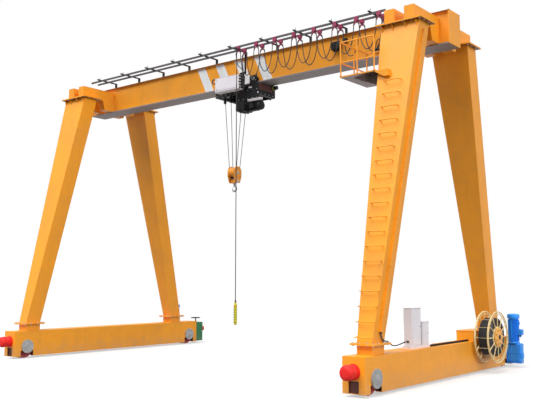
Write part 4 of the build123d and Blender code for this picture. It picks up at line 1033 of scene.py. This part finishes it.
# %% [markdown]
# The cable reel has two hoops of tube on each side, an outer and an inner, joined by twelve spokes and by
# twelve short bars, and thin bars run across from side to side. The cable wound between the sides is one
# turned part: its profile goes up one side in bumps, one for each layer, across the top turn by turn, and
# down the other side. A lip finishes the top of the stand.

# %% Cable reel
hub_y, hub_z, sides, outer_radius, inner_radius = 1.810, 0.840, (5.959, 6.271), 0.586, 0.532
axle = (0, hub_y, hub_z)
twelfths = np.arange(12) * np.pi / 6
reel = [hoop((x, hub_y, hub_z), r, "x", thickness, 96, 8)
        for x in sides for r, thickness in ((outer_radius, 0.014), (inner_radius, 0.010))]
for start, turn, thickness in ((0.06, twelfths, 0.012), (inner_radius, twelfths + np.pi / 12, 0.008)):
    for x in sides:
        reel += spokes((x, hub_y, hub_z), "x", turn, start, 0.582, thickness, 8)
lefts, rights = (around((x, hub_y, hub_z), 0.470, twelfths, "x") for x in (5.962, 6.268))
reel += [tube(ends, 0.004, 8) for ends in zip(lefts, rights)]
barrel = [(5.955, 0.06), (5.955, 0.235), (5.965, 0.250), (6.262, 0.250), (6.272, 0.235), (6.272, 0.06)]
reel += [turned(barrel, axle, "x"), turned([(5.735, 0.035), (6.285, 0.035)], axle, "x", 28),
         turned([(5.874, 0.06), (5.942, 0.085), (5.944, 0.06)], axle, "x", 32)]
piece("reel_hoops_and_spokes", reel, "reel", ["reel_frame"], "reel_cream")

layers, turns, barrel_radius, depth = 8, 12, 0.250, 0.180
u, v = np.linspace(0, 1, layers * 5 + 1), np.linspace(0, 1, turns * 5 + 1)
bump = 0.011 * np.abs(np.sin(layers * np.pi * u))
up = np.c_[5.984 - bump, barrel_radius + depth * u]
over = np.c_[5.984 + 0.262 * v, 0.430 + 0.010 * np.abs(np.sin(turns * np.pi * v))]
down = np.c_[6.246 + bump, barrel_radius + depth * u][::-1]
wound = turned(np.r_[up, over[1:-1], down], axle, "x", 64)
piece("reel_wound_cable", wound, "reel", ["reel_cable_coil"], "cable_black")
disc = [(6.285, 0.205), (6.288, 0.220), (6.302, 0.220), (6.306, 0.212), (6.308, 0.120), (6.316, 0.112),
        (6.318, 0.06)]
piece("reel_hub", turned(disc, axle, "x", 64), "reel", ["reel_hub_disc"], "hub_orange")
cap = [turned([(6.316, 0.058), (6.323, 0.054), (6.325, 0.03)], axle, "x", 32),
       bolts(around((6.307, hub_y, hub_z), 0.165, eighths, "x"), "x", 0.011, 0.010)]
piece("reel_hub_cap", cap, "reel", slot="dark_steel")
lip = casing(5.440, 5.880, 1.340, 2.110, 0.978, 0.992, 0.003)
piece("reel_stand_lip", lip, "crane_frame", slot="crane_yellow")
print("reel spokes:", 2 * len(twelfths))

# %% [markdown]
# A person climbs the near right leg on staple rungs: round bar bent twice, its ends welded to the leg. The
# leg leans, so each rung sits further in than the one below. The railing round the platform is round tube
# too, and a bracket cut from plate holds the platform to the leg.

# %% Rungs, railing and conduit straps
def leg_at(z):
    """Distance of a leg's centre line from the girder's, and half its width, at one height."""
    share = (z - 0.966) / 6.700
    return 2.757 - 1.582 * share, (0.340 + 0.580 * share) / 2


rung_pitch, rung_count = 0.292, 19
q = np.linspace(0, np.pi / 2, 6)
bent = np.c_[0.150 + 0.035 * np.cos(q), -0.075 - 0.035 * np.sin(q)]
staple = np.r_[[(-0.185, 0.012)], bent * (-1, 1), bent[::-1], [(0.185, 0.012)]]
rungs = []
for z in 1.080 + rung_pitch * np.arange(rung_count):
    face = -leg_at(z)[0] - 0.225
    rungs += [tube(np.c_[staple + (half_span, face), np.full(len(staple), z)], 0.011, 10, (0, 0, 1))]
piece("staple_rungs", rungs, "crane_frame", ["ladder_rungs"], "crane_yellow")

deck, rail_radius = 6.630, 0.016
corners = np.array([(5.1821, -1.748), (4.327, -1.748), (4.327, -0.657), (5.1821, -0.657)])
feet = np.vstack([a + (b - a) * s for a, b in zip(corners, corners[1:]) for s in (0, 0.5)] + [corners[-1]])
tubes = [tube([(x, y, deck), (x, y, deck + 0.772)], rail_radius, 12) for x, y in feet]
ball = [(-0.016, 0.010), (-0.010, 0.016), (0.010, 0.016), (0.016, 0.010)]
for z in (deck + 0.303, deck + 0.765):
    tubes += [tube([(*a, z), (*b, z)], rail_radius, 12, (0, 0, 1)) for a, b in zip(corners, corners[1:])]
    tubes += [turned(ball, (x, y, z), "z", 14) for x, y in corners]
tubes += [turned([(0, 0.032), (0.005, 0.032), (0.006, 0.020)], (x, y, deck), "z", 16) for x, y in feet]
piece("platform_rails", tubes, "crane_frame", ["platform_railing"], "crane_yellow")

straps = []
for z in np.arange(1.5, 7.3, 0.95):
    y, half = leg_at(z)
    face = half_span + half - 0.004
    straps += casings((face, face + 0.059, -y - 0.040, -y + 0.040, z - 0.015, z + 0.015, 0.003),
                      (face, face + 0.010, -y - 0.065, -y + 0.065, z - 0.015, z + 0.015, 0.002))
piece("conduit_straps", straps, "crane_frame", slot="crane_yellow")
gusset = [(6.462, 5.535), (6.604, 5.535), (6.604, 5.205), (6.590, 5.205), (6.462, 5.420)]
piece("platform_bracket", slab(gusset, -1.762, -1.655, "y"), "crane_frame", slot="crane_yellow")
print("rungs:", len(rungs), "posts:", len(feet), "straps:", len(straps) // 2)

# %% [markdown]
# Everything big on this crane is bolted. Rows of bolt heads go round the flange plates at the head and foot
# of every leg, and pairs of nuts lock the threaded rods that hold the festoon rails to their arms.

# %% Flange bolts and rod nuts
def bolt_ring(xs, end_x):
    """Offsets of one flange plate's bolts: a row along each long side, and two more bolts at each end."""
    sides = [(x, y) for x in xs for y in (-0.275, 0.275)]
    return sides + [(x, y) for x in (-end_x, end_x) for y in (-0.11, 0.11)]


foot_ring = bolt_ring((-0.225, -0.09, 0.09, 0.225), 0.225)
head_ring = bolt_ring(np.linspace(-0.50, 0.50, 6), 0.51)
flange_bolts = []
for sx in (-1, 1):
    for sy in (-1, 1):
        for ring, y, z, size, side in ((foot_ring, 2.757, 0.966, 0.020, 1),
                                       (foot_ring, 2.757, 0.930, 0.020, -1),
                                       (head_ring, 1.175, flange_low, 0.018, -1)):
            spots = [(sx * half_span + a, sy * y + b, z) for a, b in ring]
            flange_bolts += [bolts(spots, "z", size, size - 0.002, side)]
piece("leg_flange_bolts", flange_bolts, "crane_frame", slot="bolt_steel")
rods = np.array([(x, y, 8.303) for x in np.linspace(-5.150, 4.570, 10) for y in rail_rows.values()])
nuts = [bolts(rods, "z", 0.015, 0.012), bolts(rods + (0, 0, 0.014), "z", 0.014, 0.012)]
piece("rail_rod_nuts", nuts, "crane_frame", slot="bolt_steel")
caps = [post(x, y, 0.005, 0.018, 8.223, 8.275, 0.003) for x in (-5.540, 4.960) for y in rail_rows.values()]
piece("rail_end_caps", caps, "crane_frame", slot="button_black")

# %% [markdown]
# On the girder's web hang a dark junction box, which is a casing with a lid, four lid screws and a row of
# glands below, and a smaller box beside it. Weld beads run the whole length of the girder where its webs meet
# the two flanges.

# %% Junction box and girder welds
box = casings((3.100, 3.340, -0.340, -0.200, 7.790, 7.990, 0.008),
              (3.108, 3.332, -0.350, -0.338, 7.798, 7.982, 0.005, "y"),
              (3.400, 3.510, -0.272, -0.200, 7.940, 8.050, 0.006),
              (3.406, 3.504, -0.280, -0.270, 7.946, 8.044, 0.004, "y"))
box += [turned([(-0.350, 0.008), (-0.354, 0.008)], (x, 0, z), "y", 12)
        for x in (3.125, 3.315) for z in (7.815, 7.965)]
box += [part for x in (3.15, 3.22, 3.29) for part in gland(x, -0.270, 7.790, "z", -1, 0.011, 0.04)]
piece("junction_box_dressed", box, "crane_frame", ["junction_box"], "dark_steel")
web_y = 0.2005
beads = [tube([(-6.285, s * web_y, z), (6.210, s * web_y, z)], 0.006, 8, (0, 0, 1))
         for s in (-1, 1) for z in (7.419, 8.142)]
piece("girder_weld_beads", beads, "crane_frame", slot="crane_yellow")
print("flange bolts on", len(flange_bolts) // 3, "legs")

for name, (obj, slot_name) in made.items():
    if not obj.data.materials:
        obj.data.materials.append(finishes[slot_name])
print("pieces added:", len(made))
